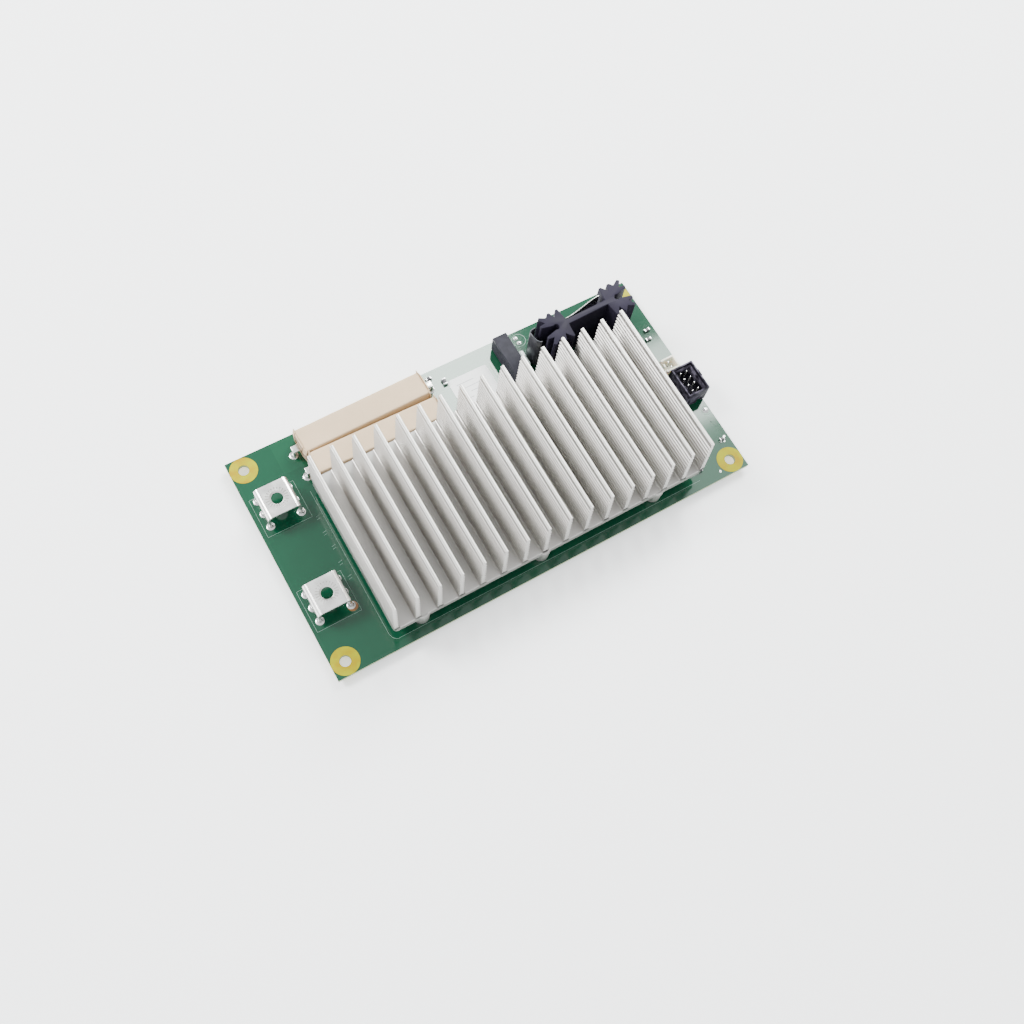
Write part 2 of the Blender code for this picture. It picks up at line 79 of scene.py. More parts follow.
class PowerBoardSizes(bpy.types.PropertyGroup):
    fin_count: bpy.props.IntProperty(
        name="Fins", description="Number of fins on the large heat sink", default=16, min=2, max=30
    )
    fin_thickness: length_property("Fin thickness", "Thickness of each fin half way up", 1.6 * MM)
    ridge_pitch: length_property("Ridge pitch", "Height of one lengthwise ridge on a fin", 2.2 * MM)
    ridge_depth: length_property("Ridge depth", "How far the ridges stand out on each face", 0.45 * MM)
    base_thickness: length_property("Base thickness", "Thickness of the heat sink's base", 4.0 * MM)
    pad_radius: length_property("Pad radius", "Outer radius of the plated ring at a corner hole", 5.65 * MM)
    hole_radius: length_property("Corner hole radius", "Radius of a corner hole", 2.2 * MM)
    hole_inset: length_property("Corner hole inset", "Hole centre to board edge", 5.7 * MM)
    ink_width: length_property("Ink width", "Width of a printed line on the board", 0.12 * MM)
    knurl_radius: length_property("Knurl radius", "Outer radius of a terminal's knurled ring", 4.5 * MM)
    knurl_teeth: bpy.props.IntProperty(
        name="Knurl teeth", description="Teeth in a terminal's knurled ring", default=22, min=8, max=90
    )


class PowerBoardColours(bpy.types.PropertyGroup):
    solder_mask: colour_property("Solder mask", "Lacquer on the board", (0.005, 0.064, 0.030))
    solder_mask_dark: colour_property("Bare laminate", "Lacquer where no copper lies under it", (0.004, 0.054, 0.026))
    board_edge: colour_property("Board edge", "Cut edge of the glass-epoxy sheet", (0.30, 0.36, 0.20))
    pad_plating: colour_property("Pad plating", "Plated rings round the corner holes", (0.34, 0.335, 0.001))
    ink: colour_property("Ink", "Printed lines on the board", (0.16, 0.26, 0.21))
    aluminium: colour_property("Aluminium", "Large heat sink", (0.50, 0.485, 0.46))
    ceramic: colour_property("Ceramic", "Bodies of the power resistors", (0.60, 0.455, 0.30))
    cement: colour_property("Cement", "Filling in the ends of the power resistors", (0.30, 0.22, 0.16))
    tin: colour_property("Tin plate", "Terminals, pins and solder", (0.85, 0.84, 0.815))
    black_metal: colour_property("Black anodising", "Small star-finned heat sink", (0.015, 0.0125, 0.024))
    black_plastic: colour_property("Black plastic", "Header and transistor bodies", (0.012, 0.011, 0.015))
    module: colour_property("Module grey", "Slim converter module", (0.009, 0.0085, 0.015))
    ivory: colour_property("Ivory", "Wafer connector", (0.80, 0.77, 0.64))
    floor: colour_property("Floor", "Pale floor under the board", (0.95, 0.955, 0.96))


def sizes():
    return bpy.context.scene.power_board_sizes


def colours():
    return bpy.context.scene.power_board_colours


# ---------------------------------------------------------------------------
# Node groups and materials
# ---------------------------------------------------------------------------

def new_group(name, inputs, outputs):
    """A shader node group with the given sockets: (name, kind, default) and (name, kind)."""
    group = bpy.data.node_groups.new(name, "ShaderNodeTree")
    for title, kind, default in inputs:
        socket = group.interface.new_socket(name=title, in_out="INPUT", socket_type=kind)
        if default is not None:
            socket.default_value = default
    for title, kind in outputs:
        group.interface.new_socket(name=title, in_out="OUTPUT", socket_type=kind)
    return group


def add_node(tree, kind, links=None, **values):
    """A node with its properties and input defaults set, and its inputs linked."""
    node = tree.nodes.new(kind)
    for key, value in values.items():
        if hasattr(node, key):
            setattr(node, key, value)
    for key, source in (links or {}).items():
        tree.links.new(source, node.inputs[key])
    return node


def maths(tree, operation, a, b=None):
    node = tree.nodes.new("ShaderNodeMath")
    node.operation = operation
    for i, value in enumerate((a, b)):
        if value is None:
            continue
        if isinstance(value, (int, float)):
            node.inputs[i].default_value = value
        else:
            tree.links.new(value, node.inputs[i])
    return node.outputs[0]


def blend_colours(tree, share, a, b):
    node = tree.nodes.new("ShaderNodeMix")
    node.data_type = "RGBA"
    sockets = [s for s in node.inputs if s.enabled]
    for socket, value in zip(sockets, (share, a, b)):
        if isinstance(value, bpy.types.NodeSocket):
            tree.links.new(value, socket)
        elif isinstance(value, (int, float)):
            socket.default_value = value
        else:
            socket.default_value = (*value, 1.0)
    return [s for s in node.outputs if s.enabled][0]


def noise_value(tree, vector, scale, detail=3.0, roughness=0.5):
    node = tree.nodes.new("ShaderNodeTexNoise")
    node.inputs["Scale"].default_value = scale
    node.inputs["Detail"].default_value = detail
    node.inputs["Roughness"].default_value = roughness
    tree.links.new(vector, node.inputs["Vector"])
    return node.outputs["Fac"]


def stretched(tree, vector, scale):
    node = tree.nodes.new("ShaderNodeMapping")
    node.inputs["Scale"].default_value = scale
    tree.links.new(vector, node.inputs["Vector"])
    return node.outputs["Vector"]


def ramp(tree, value, low, high):
    """Maps low to high onto 0 to 1, clamped."""
    node = tree.nodes.new("ShaderNodeMapRange")
    node.inputs["From Min"].default_value = low
    node.inputs["From Max"].default_value = high
    if isinstance(value, bpy.types.NodeSocket):
        tree.links.new(value, node.inputs["Value"])
    return node.outputs["Result"]


def wear_group():
    """Edge wear: a mask that is high on outward edges, broken up by noise."""
    group = bpy.data.node_groups.get("edge wear")
    if group:
        return group
    group = new_group(
        "edge wear",
        [("Strength", "NodeSocketFloat", 1.0), ("Scale", "NodeSocketFloat", 400.0)],
        [("Mask", "NodeSocketFloat")],
    )
    start = group.nodes.new("NodeGroupInput")
    end = group.nodes.new("NodeGroupOutput")
    where = group.nodes.new("ShaderNodeTexCoord").outputs["Object"]
    pointed = group.nodes.new("ShaderNodeNewGeometry").outputs["Pointiness"]
    texture = group.nodes.new("ShaderNodeTexNoise")
    texture.inputs["Detail"].default_value = 4.0
    group.links.new(where, texture.inputs["Vector"])
    group.links.new(start.outputs["Scale"], texture.inputs["Scale"])
    edges = ramp(group, pointed, 0.55, 0.70)
    broken = maths(group, "MULTIPLY", edges, ramp(group, texture.outputs["Fac"], 0.35, 0.65))
    group.links.new(maths(group, "MULTIPLY", broken, start.outputs["Strength"]), end.inputs["Mask"])
    return group


def grain_group():
    """Grain: a fine value for bump, and a slow one for patches of colour and gloss."""
    group = bpy.data.node_groups.get("surface grain")
    if group:
        return group
    group = new_group(
        "surface grain",
        [
            ("Stretch", "NodeSocketVector", (1.0, 1.0, 1.0)),
            ("Fine scale", "NodeSocketFloat", 2500.0),
            ("Patch scale", "NodeSocketFloat", 60.0),
        ],
        [("Fine", "NodeSocketFloat"), ("Patch", "NodeSocketFloat")],
    )
    start = group.nodes.new("NodeGroupInput")
    end = group.nodes.new("NodeGroupOutput")
    where = group.nodes.new("ShaderNodeTexCoord").outputs["Object"]
    mapping = group.nodes.new("ShaderNodeMapping")
    group.links.new(where, mapping.inputs["Vector"])
    group.links.new(start.outputs["Stretch"], mapping.inputs["Scale"])
    for title, detail in (("Fine", 2.0), ("Patch", 4.0)):
        texture = group.nodes.new("ShaderNodeTexNoise")
        texture.inputs["Detail"].default_value = detail
        group.links.new(mapping.outputs["Vector"], texture.inputs["Vector"])
        group.links.new(start.outputs[title + " scale"], texture.inputs["Scale"])
        group.links.new(texture.outputs["Fac"], end.inputs[title])
    return group


def use_group(tree, group, **values):
    node = tree.nodes.new("ShaderNodeGroup")
    node.node_tree = group
    for key, value in values.items():
        node.inputs[key.replace("_", " ")].default_value = value
    return node


def base_material(name, roughness, metallic, **sockets):
    """A Principled material and its tree, with plain values on the shader's own sockets."""
    material = bpy.data.materials.new(name)
    material.use_nodes = True
    tree = material.node_tree
    shader = tree.nodes["Principled BSDF"]
    shader.inputs["Roughness"].default_value = roughness
    shader.inputs["Metallic"].default_value = metallic
    for key, value in sockets.items():
        shader.inputs[key.replace("_", " ")].default_value = value
    return material, tree, shader


def bump(tree, shader, height, strength, distance):
    node = tree.nodes.new("ShaderNodeBump")
    node.inputs["Strength"].default_value = strength
    node.inputs["Distance"].default_value = distance
    tree.links.new(height, node.inputs["Height"])
    tree.links.new(node.outputs["Normal"], shader.inputs["Normal"])


def grained(name, colour, roughness, metallic, spread=0.12, gloss=0.08, depth=0.02 * MM, wear=0.35,
            worn=None, fine=2500.0, patch=60.0, stretch=(1.0, 1.0, 1.0), **sockets):
    """A finish with patches of tone and gloss, fine grain and worn edges."""
    material, tree, shader = base_material(name, roughness, metallic, **sockets)
    grain = use_group(tree, grain_group(), Fine_scale=fine, Patch_scale=patch, Stretch=stretch)
    tone = ramp(tree, grain.outputs["Patch"], 0.3, 0.7)
    dark = tuple(c * (1 - spread) for c in colour)
    light = tuple(min(1.0, c * (1 + spread)) for c in colour)
    toned = blend_colours(tree, tone, dark, light)
    mask = use_group(tree, wear_group(), Strength=wear).outputs["Mask"]
    bright = worn or tuple(min(1.0, c * 1.5 + 0.04) for c in colour)
    tree.links.new(blend_colours(tree, mask, toned, bright), shader.inputs["Base Color"])
    spreading = maths(tree, "MULTIPLY", maths(tree, "SUBTRACT", grain.outputs["Patch"], 0.5), gloss * 2)
    tree.links.new(maths(tree, "ADD", spreading, roughness), shader.inputs["Roughness"])
    bump(tree, shader, grain.outputs["Fine"], 0.5, depth)
    return material


MATERIALS = {}


def finish(name):
    """The named finish, made when it is first asked for."""
    if name not in MATERIALS:
        MATERIALS[name] = FINISHES[name]()
    return MATERIALS[name]


def mask_material():
    """Glossy green lacquer: lighter over copper areas, with a faint weave of the glass cloth."""
    c = colours()
    material, tree, shader = base_material(
        "glossy solder mask", 0.06, 0.0, Specular_IOR_Level=0.5
    )
    where = tree.nodes.new("ShaderNodeTexCoord").outputs["Object"]
    regions = tree.nodes.new("ShaderNodeTexVoronoi")
    regions.distance = "CHEBYCHEV"
    regions.inputs["Scale"].default_value = 38.0
    tree.links.new(where, regions.inputs["Vector"])
    copper = ramp(tree, regions.outputs["Distance"], 0.30, 0.31)
    tone = blend_colours(tree, copper, tuple(c.solder_mask), tuple(c.solder_mask_dark))
    patches = ramp(tree, noise_value(tree, where, 28.0), 0.25, 0.75)
    darker = tuple(v * 0.86 for v in c.solder_mask)
    toned = blend_colours(tree, maths(tree, "MULTIPLY", patches, 0.45), tone, darker)
    normal = tree.nodes.new("ShaderNodeSeparateXYZ")
    geometry = tree.nodes.new("ShaderNodeNewGeometry")
    tree.links.new(geometry.outputs["Normal"], normal.inputs["Vector"])
    upright = maths(tree, "ABSOLUTE", normal.outputs["Z"])
    edge = maths(tree, "LESS_THAN", upright, 0.5)
    tree.links.new(blend_colours(tree, edge, toned, tuple(c.board_edge)), shader.inputs["Base Color"])
    rough = maths(tree, "ADD", maths(tree, "MULTIPLY", edge, 0.5), 0.045)
    gloss = maths(tree, "MULTIPLY", noise_value(tree, where, 90.0), 0.05)
    tree.links.new(maths(tree, "ADD", rough, gloss), shader.inputs["Roughness"])
    weave_x = stretched(tree, where, (1.0, 0.08, 1.0))
    weave_y = stretched(tree, where, (0.08, 1.0, 1.0))
    cloth = maths(tree, "ADD", noise_value(tree, weave_x, 1800.0), noise_value(tree, weave_y, 1800.0))
    bump(tree, shader, cloth, 0.08, 0.02 * MM)
    return material


def aluminium_material():
    """Extruded aluminium: fine streaks along Y, a slightly warm grey and brighter edges."""
    return grained(
        "extruded aluminium", tuple(colours().aluminium), 0.38, 0.78, spread=0.02, gloss=0.03,
        depth=0.012 * MM, wear=0.12, worn=(0.92, 0.92, 0.91), fine=3000.0, patch=90.0, stretch=(1.0, 0.03, 1.0),
    )


def ceramic_material():
    """Unglazed ceramic: dusty cream with darker specks and a rough skin."""
    c = tuple(colours().ceramic)
    material, tree, shader = base_material("unglazed ceramic", 0.86, 0.0, Specular_IOR_Level=0.25)
    where = tree.nodes.new("ShaderNodeTexCoord").outputs["Object"]
    clouds = ramp(tree, noise_value(tree, where, 45.0, 5.0, 0.6), 0.3, 0.7)
    toned = blend_colours(tree, clouds, tuple(v * 0.93 for v in c), tuple(min(1, v * 1.06) for v in c))
    specks = ramp(tree, noise_value(tree, where, 1400.0, 2.0), 0.64, 0.72)
    speckled = blend_colours(tree, maths(tree, "MULTIPLY", specks, 0.35), toned, (0.33, 0.25, 0.18))
    mask = use_group(tree, wear_group(), Strength=0.5, Scale=900.0).outputs["Mask"]
    tree.links.new(blend_colours(tree, mask, speckled, (0.86, 0.80, 0.70)), shader.inputs["Base Color"])
    skin = maths(tree, "ADD", noise_value(tree, where, 1100.0, 5.0, 0.7), noise_value(tree, where, 240.0))
    bump(tree, shader, skin, 0.55, 0.10 * MM)
    return material


def cement_material():
    return grained(
        "silicone cement", tuple(colours().cement), 0.9, 0.0, spread=0.25, depth=0.12 * MM, wear=0.2, fine=900.0
    )


def tin_material():
    return grained(
        "bright tin plate", tuple(colours().tin), 0.24, 0.92, spread=0.05, gloss=0.16, depth=0.01 * MM,
        wear=0.5, worn=(0.95, 0.95, 0.94), fine=1800.0, patch=220.0,
    )


# A darker tin, used as painted shade inside the terminals' knurled grooves.
def knurl_shade_material():
    return grained(
        "painted knurl shade", (0.20, 0.195, 0.185), 0.5, 0.6, spread=0.15, depth=0.02 * MM, wear=0.1, fine=2600.0
    )


def solder_material():
    return grained(
        "solder", (0.66, 0.665, 0.66), 0.27, 0.95, spread=0.12, gloss=0.2, depth=0.05 * MM, wear=0.2,
        fine=900.0, patch=700.0,
    )


def anodised_material():
    return grained(
        "black anodising", tuple(colours().black_metal), 0.58, 0.0, Specular_IOR_Level=0.13, spread=0.2, gloss=0.12,
        depth=0.02 * MM, wear=0.2, worn=(0.10, 0.095, 0.12), fine=2600.0, patch=110.0, stretch=(1.0, 1.0, 0.05),
    )


def spring_material():
    return grained(
        "spring steel", (0.34, 0.35, 0.33), 0.26, 0.95, spread=0.12, depth=0.01 * MM, wear=0.8,
        worn=(0.85, 0.85, 0.80), patch=150.0,
    )


def dark_spring_material():
    return grained(
        "blackened spring steel", (0.05, 0.05, 0.06), 0.34, 0.6, spread=0.2, depth=0.01 * MM, wear=0.8,
        worn=(0.55, 0.55, 0.53), patch=150.0,
    )


def zinc_material():
    return grained(
        "zinc plate", (0.56, 0.57, 0.58), 0.32, 0.95, spread=0.10, depth=0.01 * MM, wear=0.5, patch=400.0
    )


def black_plastic_material():
    return grained(
        "black moulding", tuple(colours().black_plastic), 0.42, 0.0, spread=0.15, depth=0.015 * MM,
        wear=0.5, worn=(0.13, 0.12, 0.15), fine=4200.0, patch=130.0,
    )


def header_material():
    return grained(
        "header moulding", (0.007, 0.006, 0.011), 0.6, 0.0, Specular_IOR_Level=0.08, spread=0.15, depth=0.012 * MM, wear=0.6,
        worn=(0.30, 0.27, 0.36), fine=4200.0, patch=130.0,
    )


def module_material():
    """Grey case with fine lines along its length."""
    return grained(
        "module case", tuple(colours().module), 0.5, 0.0, Specular_IOR_Level=0.18, spread=0.05, depth=0.02 * MM, wear=0.06,
        worn=(0.16, 0.16, 0.20), fine=2200.0, patch=120.0, stretch=(1.0, 0.02, 1.0),
    )


def ivory_material():
    return grained(
        "ivory nylon", tuple(colours().ivory), 0.35, 0.0, spread=0.04, depth=0.015 * MM, wear=0.2,
        worn=(0.92, 0.90, 0.80), fine=3000.0, Subsurface_Weight=0.1,
    )


def film_material():
    return grained(
        "film capacitor case", (0.62, 0.70, 0.67), 0.28, 0.0, spread=0.07, depth=0.02 * MM, wear=0.2,
        fine=1500.0, Coat_Weight=0.4,
    )


def rubber_material():
    return grained("silicone pad", (0.36, 0.36, 0.38), 0.8, 0.0, spread=0.08, depth=0.04 * MM, fine=1500.0, wear=0.1)


def chip_material():
    return grained("chip body", (0.035, 0.035, 0.04), 0.38, 0.0, spread=0.2, depth=0.02 * MM, fine=4000.0, wear=0.4)


def pad_material():
    """Plated ring: bright yellow with soft orange and pale stains."""
    c = tuple(colours().pad_plating)
    material, tree, shader = base_material("plated ring", 0.42, 0.0, Specular_IOR_Level=0.12)
    where = tree.nodes.new("ShaderNodeTexCoord").outputs["Object"]
    clouds = ramp(tree, noise_value(tree, where, 210.0, 3.0), 0.35, 0.7)
    toned = blend_colours(tree, clouds, c, (0.33, 0.22, 0.001))
    pale = ramp(tree, noise_value(tree, where, 130.0, 2.0), 0.5, 0.75)
    tree.links.new(blend_colours(tree, maths(tree, "MULTIPLY", pale, 0.5), toned, (0.42, 0.44, 0.005)),
                   shader.inputs["Base Color"])
    bump(tree, shader, noise_value(tree, where, 900.0, 3.0), 0.3, 0.03 * MM)
    return material


def ink_material():
    return grained("printed ink", tuple(colours().ink), 0.55, 0.0, spread=0.08, depth=0.02 * MM, fine=3000.0, wear=0.1)


def label_material():
    """White paper; the plain grey rules in place of print are separate pieces."""
    material, tree, shader = base_material("label paper", 0.55, 0.0, Specular_IOR_Level=0.35)
    where = tree.nodes.new("ShaderNodeTexCoord").outputs["Object"]
    fibres = ramp(tree, noise_value(tree, where, 700.0, 4.0), 0.3, 0.7)
    paper = blend_colours(tree, fibres, (0.83, 0.84, 0.83), (0.90, 0.91, 0.90))
    tree.links.new(paper, shader.inputs["Base Color"])
    bump(tree, shader, noise_value(tree, where, 2600.0, 3.0), 0.3, 0.02 * MM)
    return material


def print_material():
    return grained("grey print", (0.42, 0.44, 0.45), 0.6, 0.0, spread=0.2, depth=0.01 * MM, fine=3000.0, wear=0.0)


def flux_material():
    return grained("flux residue", (0.20, 0.085, 0.02), 0.22, 0.0, spread=0.3, depth=0.04 * MM, fine=900.0, wear=0.0)


def floor_material():
    material, tree, shader = base_material("pale floor", 0.75, 0.0, Specular_IOR_Level=0.2)
    where = tree.nodes.new("ShaderNodeTexCoord").outputs["Object"]
    c = tuple(colours().floor)
    tone = ramp(tree, noise_value(tree, where, 3.0), 0.3, 0.7)
    tree.links.new(blend_colours(tree, tone, tuple(v * 0.985 for v in c), c), shader.inputs["Base Color"])
    shader.inputs["Emission Color"].default_value = (*c, 1.0)
    shader.inputs["Emission Strength"].default_value = 0.8
    return material


FINISHES = {
    "mask": mask_material,
    "aluminium": aluminium_material,
    "ceramic": ceramic_material,
    "cement": cement_material,
    "tin": tin_material,
    "knurl_shade": knurl_shade_material,
    "solder": solder_material,
    "anodised": anodised_material,
    "spring": spring_material,
    "dark_spring": dark_spring_material,
    "zinc": zinc_material,
    "black_plastic": black_plastic_material,
    "header": header_material,
    "module": module_material,
    "ivory": ivory_material,
    "film": film_material,
    "rubber": rubber_material,
    "chip": chip_material,
    "pad": pad_material,
    "ink": ink_material,
    "label": label_material,
    "print": print_material,
    "flux": flux_material,
    "floor": floor_material,
}


# ---------------------------------------------------------------------------
# Modelling helpers
# ---------------------------------------------------------------------------

def point(x, y, z=0.0):
    """A place on the board's grid in millimetres (from its front left corner, above its top) in metres."""
    return Vector((BOARD_LOW.x + x * MM, BOARD_LOW.y + y * MM, BOARD_TOP + z * MM))


def deselect():
    if bpy.context.mode != "OBJECT":
        bpy.ops.object.mode_set(mode="OBJECT")
    bpy.ops.object.select_all(action="DESELECT")


def only(item):
    deselect()
    item.select_set(True)
    bpy.context.view_layer.objects.active = item
    return item


def start_block(name, size, centre):
    """A box at its size and place, selected alone."""
    deselect()
    bpy.ops.mesh.primitive_cube_add(size=1.0, location=centre)
    item = bpy.context.object
    item.name = name
    item.scale = size
    bpy.ops.object.transform_apply(location=False, rotation=False, scale=True)
    return item


def start_cylinder(name, radius, depth, centre, sides=32, fill="NGON"):
    deselect()
    bpy.ops.mesh.primitive_cylinder_add(
        radius=radius, depth=depth, location=centre, vertices=sides, end_fill_type=fill
    )
    item = bpy.context.object
    item.name = name
    return item


def start_circle(name, radius, centre, sides=32, fill="NOTHING"):
    deselect()
    bpy.ops.mesh.primitive_circle_add(radius=radius, location=centre, vertices=sides, fill_type=fill)
    item = bpy.context.object
    item.name = name
    return item


def edit(item, kind="FACE"):
    only(item)
    bpy.ops.object.mode_set(mode="EDIT")
    bpy.ops.mesh.select_mode(type=kind)
    bpy.ops.mesh.select_all(action="DESELECT")
    return bmesh.from_edit_mesh(item.data)


def pick(item, kind, test):
    """Selects the vertices, edges or faces that pass a test, in edit mode."""
    mesh = edit(item, kind)
    parts = {"VERT": mesh.verts, "EDGE": mesh.edges, "FACE": mesh.faces}[kind]
    for part in parts:
        if test(part):
            part.select_set(True)
    mesh.select_flush_mode()
    bmesh.update_edit_mesh(item.data)


def leave_edit():
    bpy.ops.object.mode_set(mode="OBJECT")


def middle(edge):
    return (edge.verts[0].co + edge.verts[1].co) / 2


def bevel_edges(item, width, segments=2, test=None, angle=30.0):
    """Rounds the sharp edges, or those that pass a test, in edit mode."""
    def sharp(edge):
        if test and not test(edge):
            return False
        return len(edge.link_faces) == 2 and edge.calc_face_angle(0.0) > math.radians(angle)

    pick(item, "EDGE", sharp)
    bpy.ops.mesh.bevel(offset=width, segments=segments, affect="EDGES", clamp_overlap=True)
    leave_edit()
    return item


def merged_copy(node, name=None):
    """A copy of a CAD node's mesh with its triangles merged and its flat faces joined."""
    item = bpy.data.objects.new(name or node + "_detail", NODES[node].data.copy())
    bpy.context.scene.collection.objects.link(item)
    item.data.materials.clear()
    edit(item, "VERT")
    bpy.ops.mesh.select_all(action="SELECT")
    bpy.ops.mesh.remove_doubles(threshold=0.00001)
    bpy.ops.mesh.dissolve_limited(angle_limit=math.radians(1.0))
    leave_edit()
    return item


def smooth(item, angle=35.0):
    only(item)
    bpy.ops.object.shade_smooth_by_angle(angle=math.radians(angle))
    return item


def apply_place(item):
    only(item)
    bpy.ops.object.transform_apply(location=True, rotation=True, scale=True)
    return item


def modify(item, kind, **values):
    """Adds a modifier, sets it and applies it."""
    only(item)
    modifier = item.modifiers.new(kind, kind)
    for key, value in values.items():
        setattr(modifier, key, value)
    bpy.ops.object.modifier_apply(modifier=modifier.name)
    return item


def cut(item, other, operation="DIFFERENCE"):
    modify(item, "BOOLEAN", operation=operation, solver="EXACT", object=other)
    bpy.data.objects.remove(other)
    return item


def join(items, name):
    """Joins objects into one that keeps each one's material."""
    deselect()
    for item in items:
        item.select_set(True)
    bpy.context.view_layer.objects.active = items[0]
    bpy.ops.object.join()
    items[0].name = name
    items[0].data.name = name
    return items[0]


def copied(item, name, offset=(0.0, 0.0, 0.0), turn=None):
    """A copy with its own mesh, moved and turned in its mesh."""
    twin = item.copy()
    twin.data = item.data.copy()
    twin.name = name
    bpy.context.scene.collection.objects.link(twin)
    matrix = Matrix.Translation(offset)
    if turn is not None:
        matrix = matrix @ turn
    twin.data.transform(matrix)
    return twin


def paint(item, *names):
    item.data.materials.clear()
    for name in names:
        item.data.materials.append(finish(name))
    return item


def settle(item, replaced=(), angle=35.0):
    """Finishes a piece: place in its mesh, smooth shading, its body and what it replaces."""
    apply_place(item)
    smooth(item, angle)
    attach(item, "root")
    if replaced:
        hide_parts(*replaced)
    return item


def dress(node, name):
    """A better material on a CAD node that keeps its shape."""
    item = NODES[node]
    item.data.materials.clear()
    item.data.materials.append(finish(name))


def prism(name, outline, low, high):
    """A closed outline, in metres, extruded upwards from one height to another."""
    mesh = bpy.data.meshes.new(name)
    mesh.from_pydata([(x, y, low) for x, y in outline], [], [list(range(len(outline)))])
    item = bpy.data.objects.new(name, mesh)
    bpy.context.scene.collection.objects.link(item)
    pick(item, "FACE", lambda face: True)
    bpy.ops.mesh.extrude_region_move(TRANSFORM_OT_translate={"value": (0, 0, high - low)})
    bpy.ops.mesh.select_all(action="SELECT")
    bpy.ops.mesh.normals_make_consistent(inside=False)
    leave_edit()
    return item


def ring(name, inner, outer, low, high, x, y, sides=40):
    """A flat ring, at a place on the board's grid."""
    centre = point(x, y)
    centre.z = (low + high) / 2
    item = start_circle(name, inner, centre, sides)
    edit(item, "EDGE")
    bpy.ops.mesh.select_all(action="SELECT")
    bpy.ops.mesh.extrude_edges_move()
    bpy.ops.transform.resize(value=(outer / inner, outer / inner, 1.0), center_override=item.location)
    leave_edit()
    modify(item, "SOLIDIFY", thickness=high - low, offset=0.0)
    edit(item, "FACE")
    bpy.ops.mesh.select_all(action="SELECT")
    bpy.ops.mesh.normals_make_consistent(inside=False)
    leave_edit()
    return item


def grown_block(name, x, y, length, levels):
    """A bar along Y that is extruded upwards, level by level: (height, width) pairs in metres."""
    start, width = levels[0]
    deselect()
    bpy.ops.mesh.primitive_plane_add(size=1.0, location=(0, y, start))
    item = bpy.context.object
    item.name = name
    item.scale = (width, length, 1.0)
    bpy.ops.object.transform_apply(location=True, rotation=False, scale=True)
    edit(item, "FACE")
    bpy.ops.mesh.select_all(action="SELECT")
    for height, wider in levels[1:]:
        bpy.ops.mesh.extrude_region_move(TRANSFORM_OT_translate={"value": (0, 0, height - start)})
        bpy.ops.transform.resize(value=(wider / width, 1.0, 1.0), center_override=(0, y, height))
        start, width = height, wider
    bpy.ops.mesh.select_all(action="SELECT")
    bpy.ops.mesh.normals_make_consistent(inside=False)
    leave_edit()
    item.data.transform(Matrix.Translation((x, 0, 0)))
    return item


def turned(name, centre, rings, sides=20):
    """A turned solid about an upright axis, extruded ring by ring: (height, radius) pairs."""
    height, radius = rings[0]
    item = start_circle(name, radius, (centre.x, centre.y, height), sides, "NGON")
    edit(item, "FACE")
    bpy.ops.mesh.select_all(action="SELECT")
    for level, wider in rings[1:]:
        bpy.ops.mesh.extrude_region_move(TRANSFORM_OT_translate={"value": (0, 0, level - height)})
        bpy.ops.transform.resize(value=(wider / radius, wider / radius, 1.0), center_override=(*centre.xy, level))
        height, radius = level, wider
    bpy.ops.mesh.select_all(action="SELECT")
    bpy.ops.mesh.normals_make_consistent(inside=False)
    leave_edit()
    return apply_place(item)


def solder_cone(name, radius, height, lead, down=False):
    """A concave solder fillet that rises from a pad to a lead."""
    rings = [(-0.02 * MM, radius * 0.97), (0.05 * MM, radius), (0.12 * MM, radius * 0.93)]
    for step in range(1, 6):
        share = step / 5
        rings.append((0.12 * MM + (height - 0.12 * MM) * share ** 1.6, lead + (radius - lead) * (1 - share) ** 1.5 * 0.85))
    rings.append((height + 0.05 * MM, lead * 0.7))
    item = turned(name, Vector((0, 0, 0)), rings)
    if down:
        edit(item, "FACE")
        bpy.ops.mesh.select_all(action="SELECT")
        bpy.ops.transform.resize(value=(1, 1, -1), center_override=(0, 0, 0))
        bpy.ops.mesh.normals_make_consistent(inside=False)
        leave_edit()
    return item


def scatter_joints(name, places, radius, height, lead, down=False):
    """One solder joint modelled once and copied to each place on the board's grid."""
    first = solder_cone(name, radius, height, lead, down)
    level = BOARD_UNDERSIDE if down else BOARD_TOP
    made = []
    for number, (x, y) in enumerate(places):
        spot = point(x, y)
        spot.z = level
        turn = Matrix.Rotation(number * 1.3, 4, "Z") @ Matrix.Diagonal((1.0, 0.94 + 0.03 * (number % 4), 1.0, 1.0))
        made.append(copied(first, f"{name} {number}", spot, turn))
    bpy.data.objects.remove(first)
    return join(made, name)


def ink_line(name, ends, width=None):
    """A straight printed line between two places on the board's grid."""
    width = width or sizes().ink_width
    (x0, y0), (x1, y1) = ends
    length = math.hypot(x1 - x0, y1 - y0) * MM
    middle = point((x0 + x1) / 2, (y0 + y1) / 2, 0.012)
    item = start_block(name, (length + width, width, 0.03 * MM), middle)
    item.rotation_euler.z = math.atan2(y1 - y0, x1 - x0)
    return apply_place(item)


def ink_path(name, places, width=None):
    lines = [ink_line(name, pair, width) for pair in zip(places, places[1:])]
    return lines


def ink_frame(name, x0, y0, x1, y1):
    return ink_path(name, [(x0, y0), (x1, y0), (x1, y1), (x0, y1), (x0, y0)])


# ---------------------------------------------------------------------------
# Layout, in millimetres on the board's grid
# ---------------------------------------------------------------------------

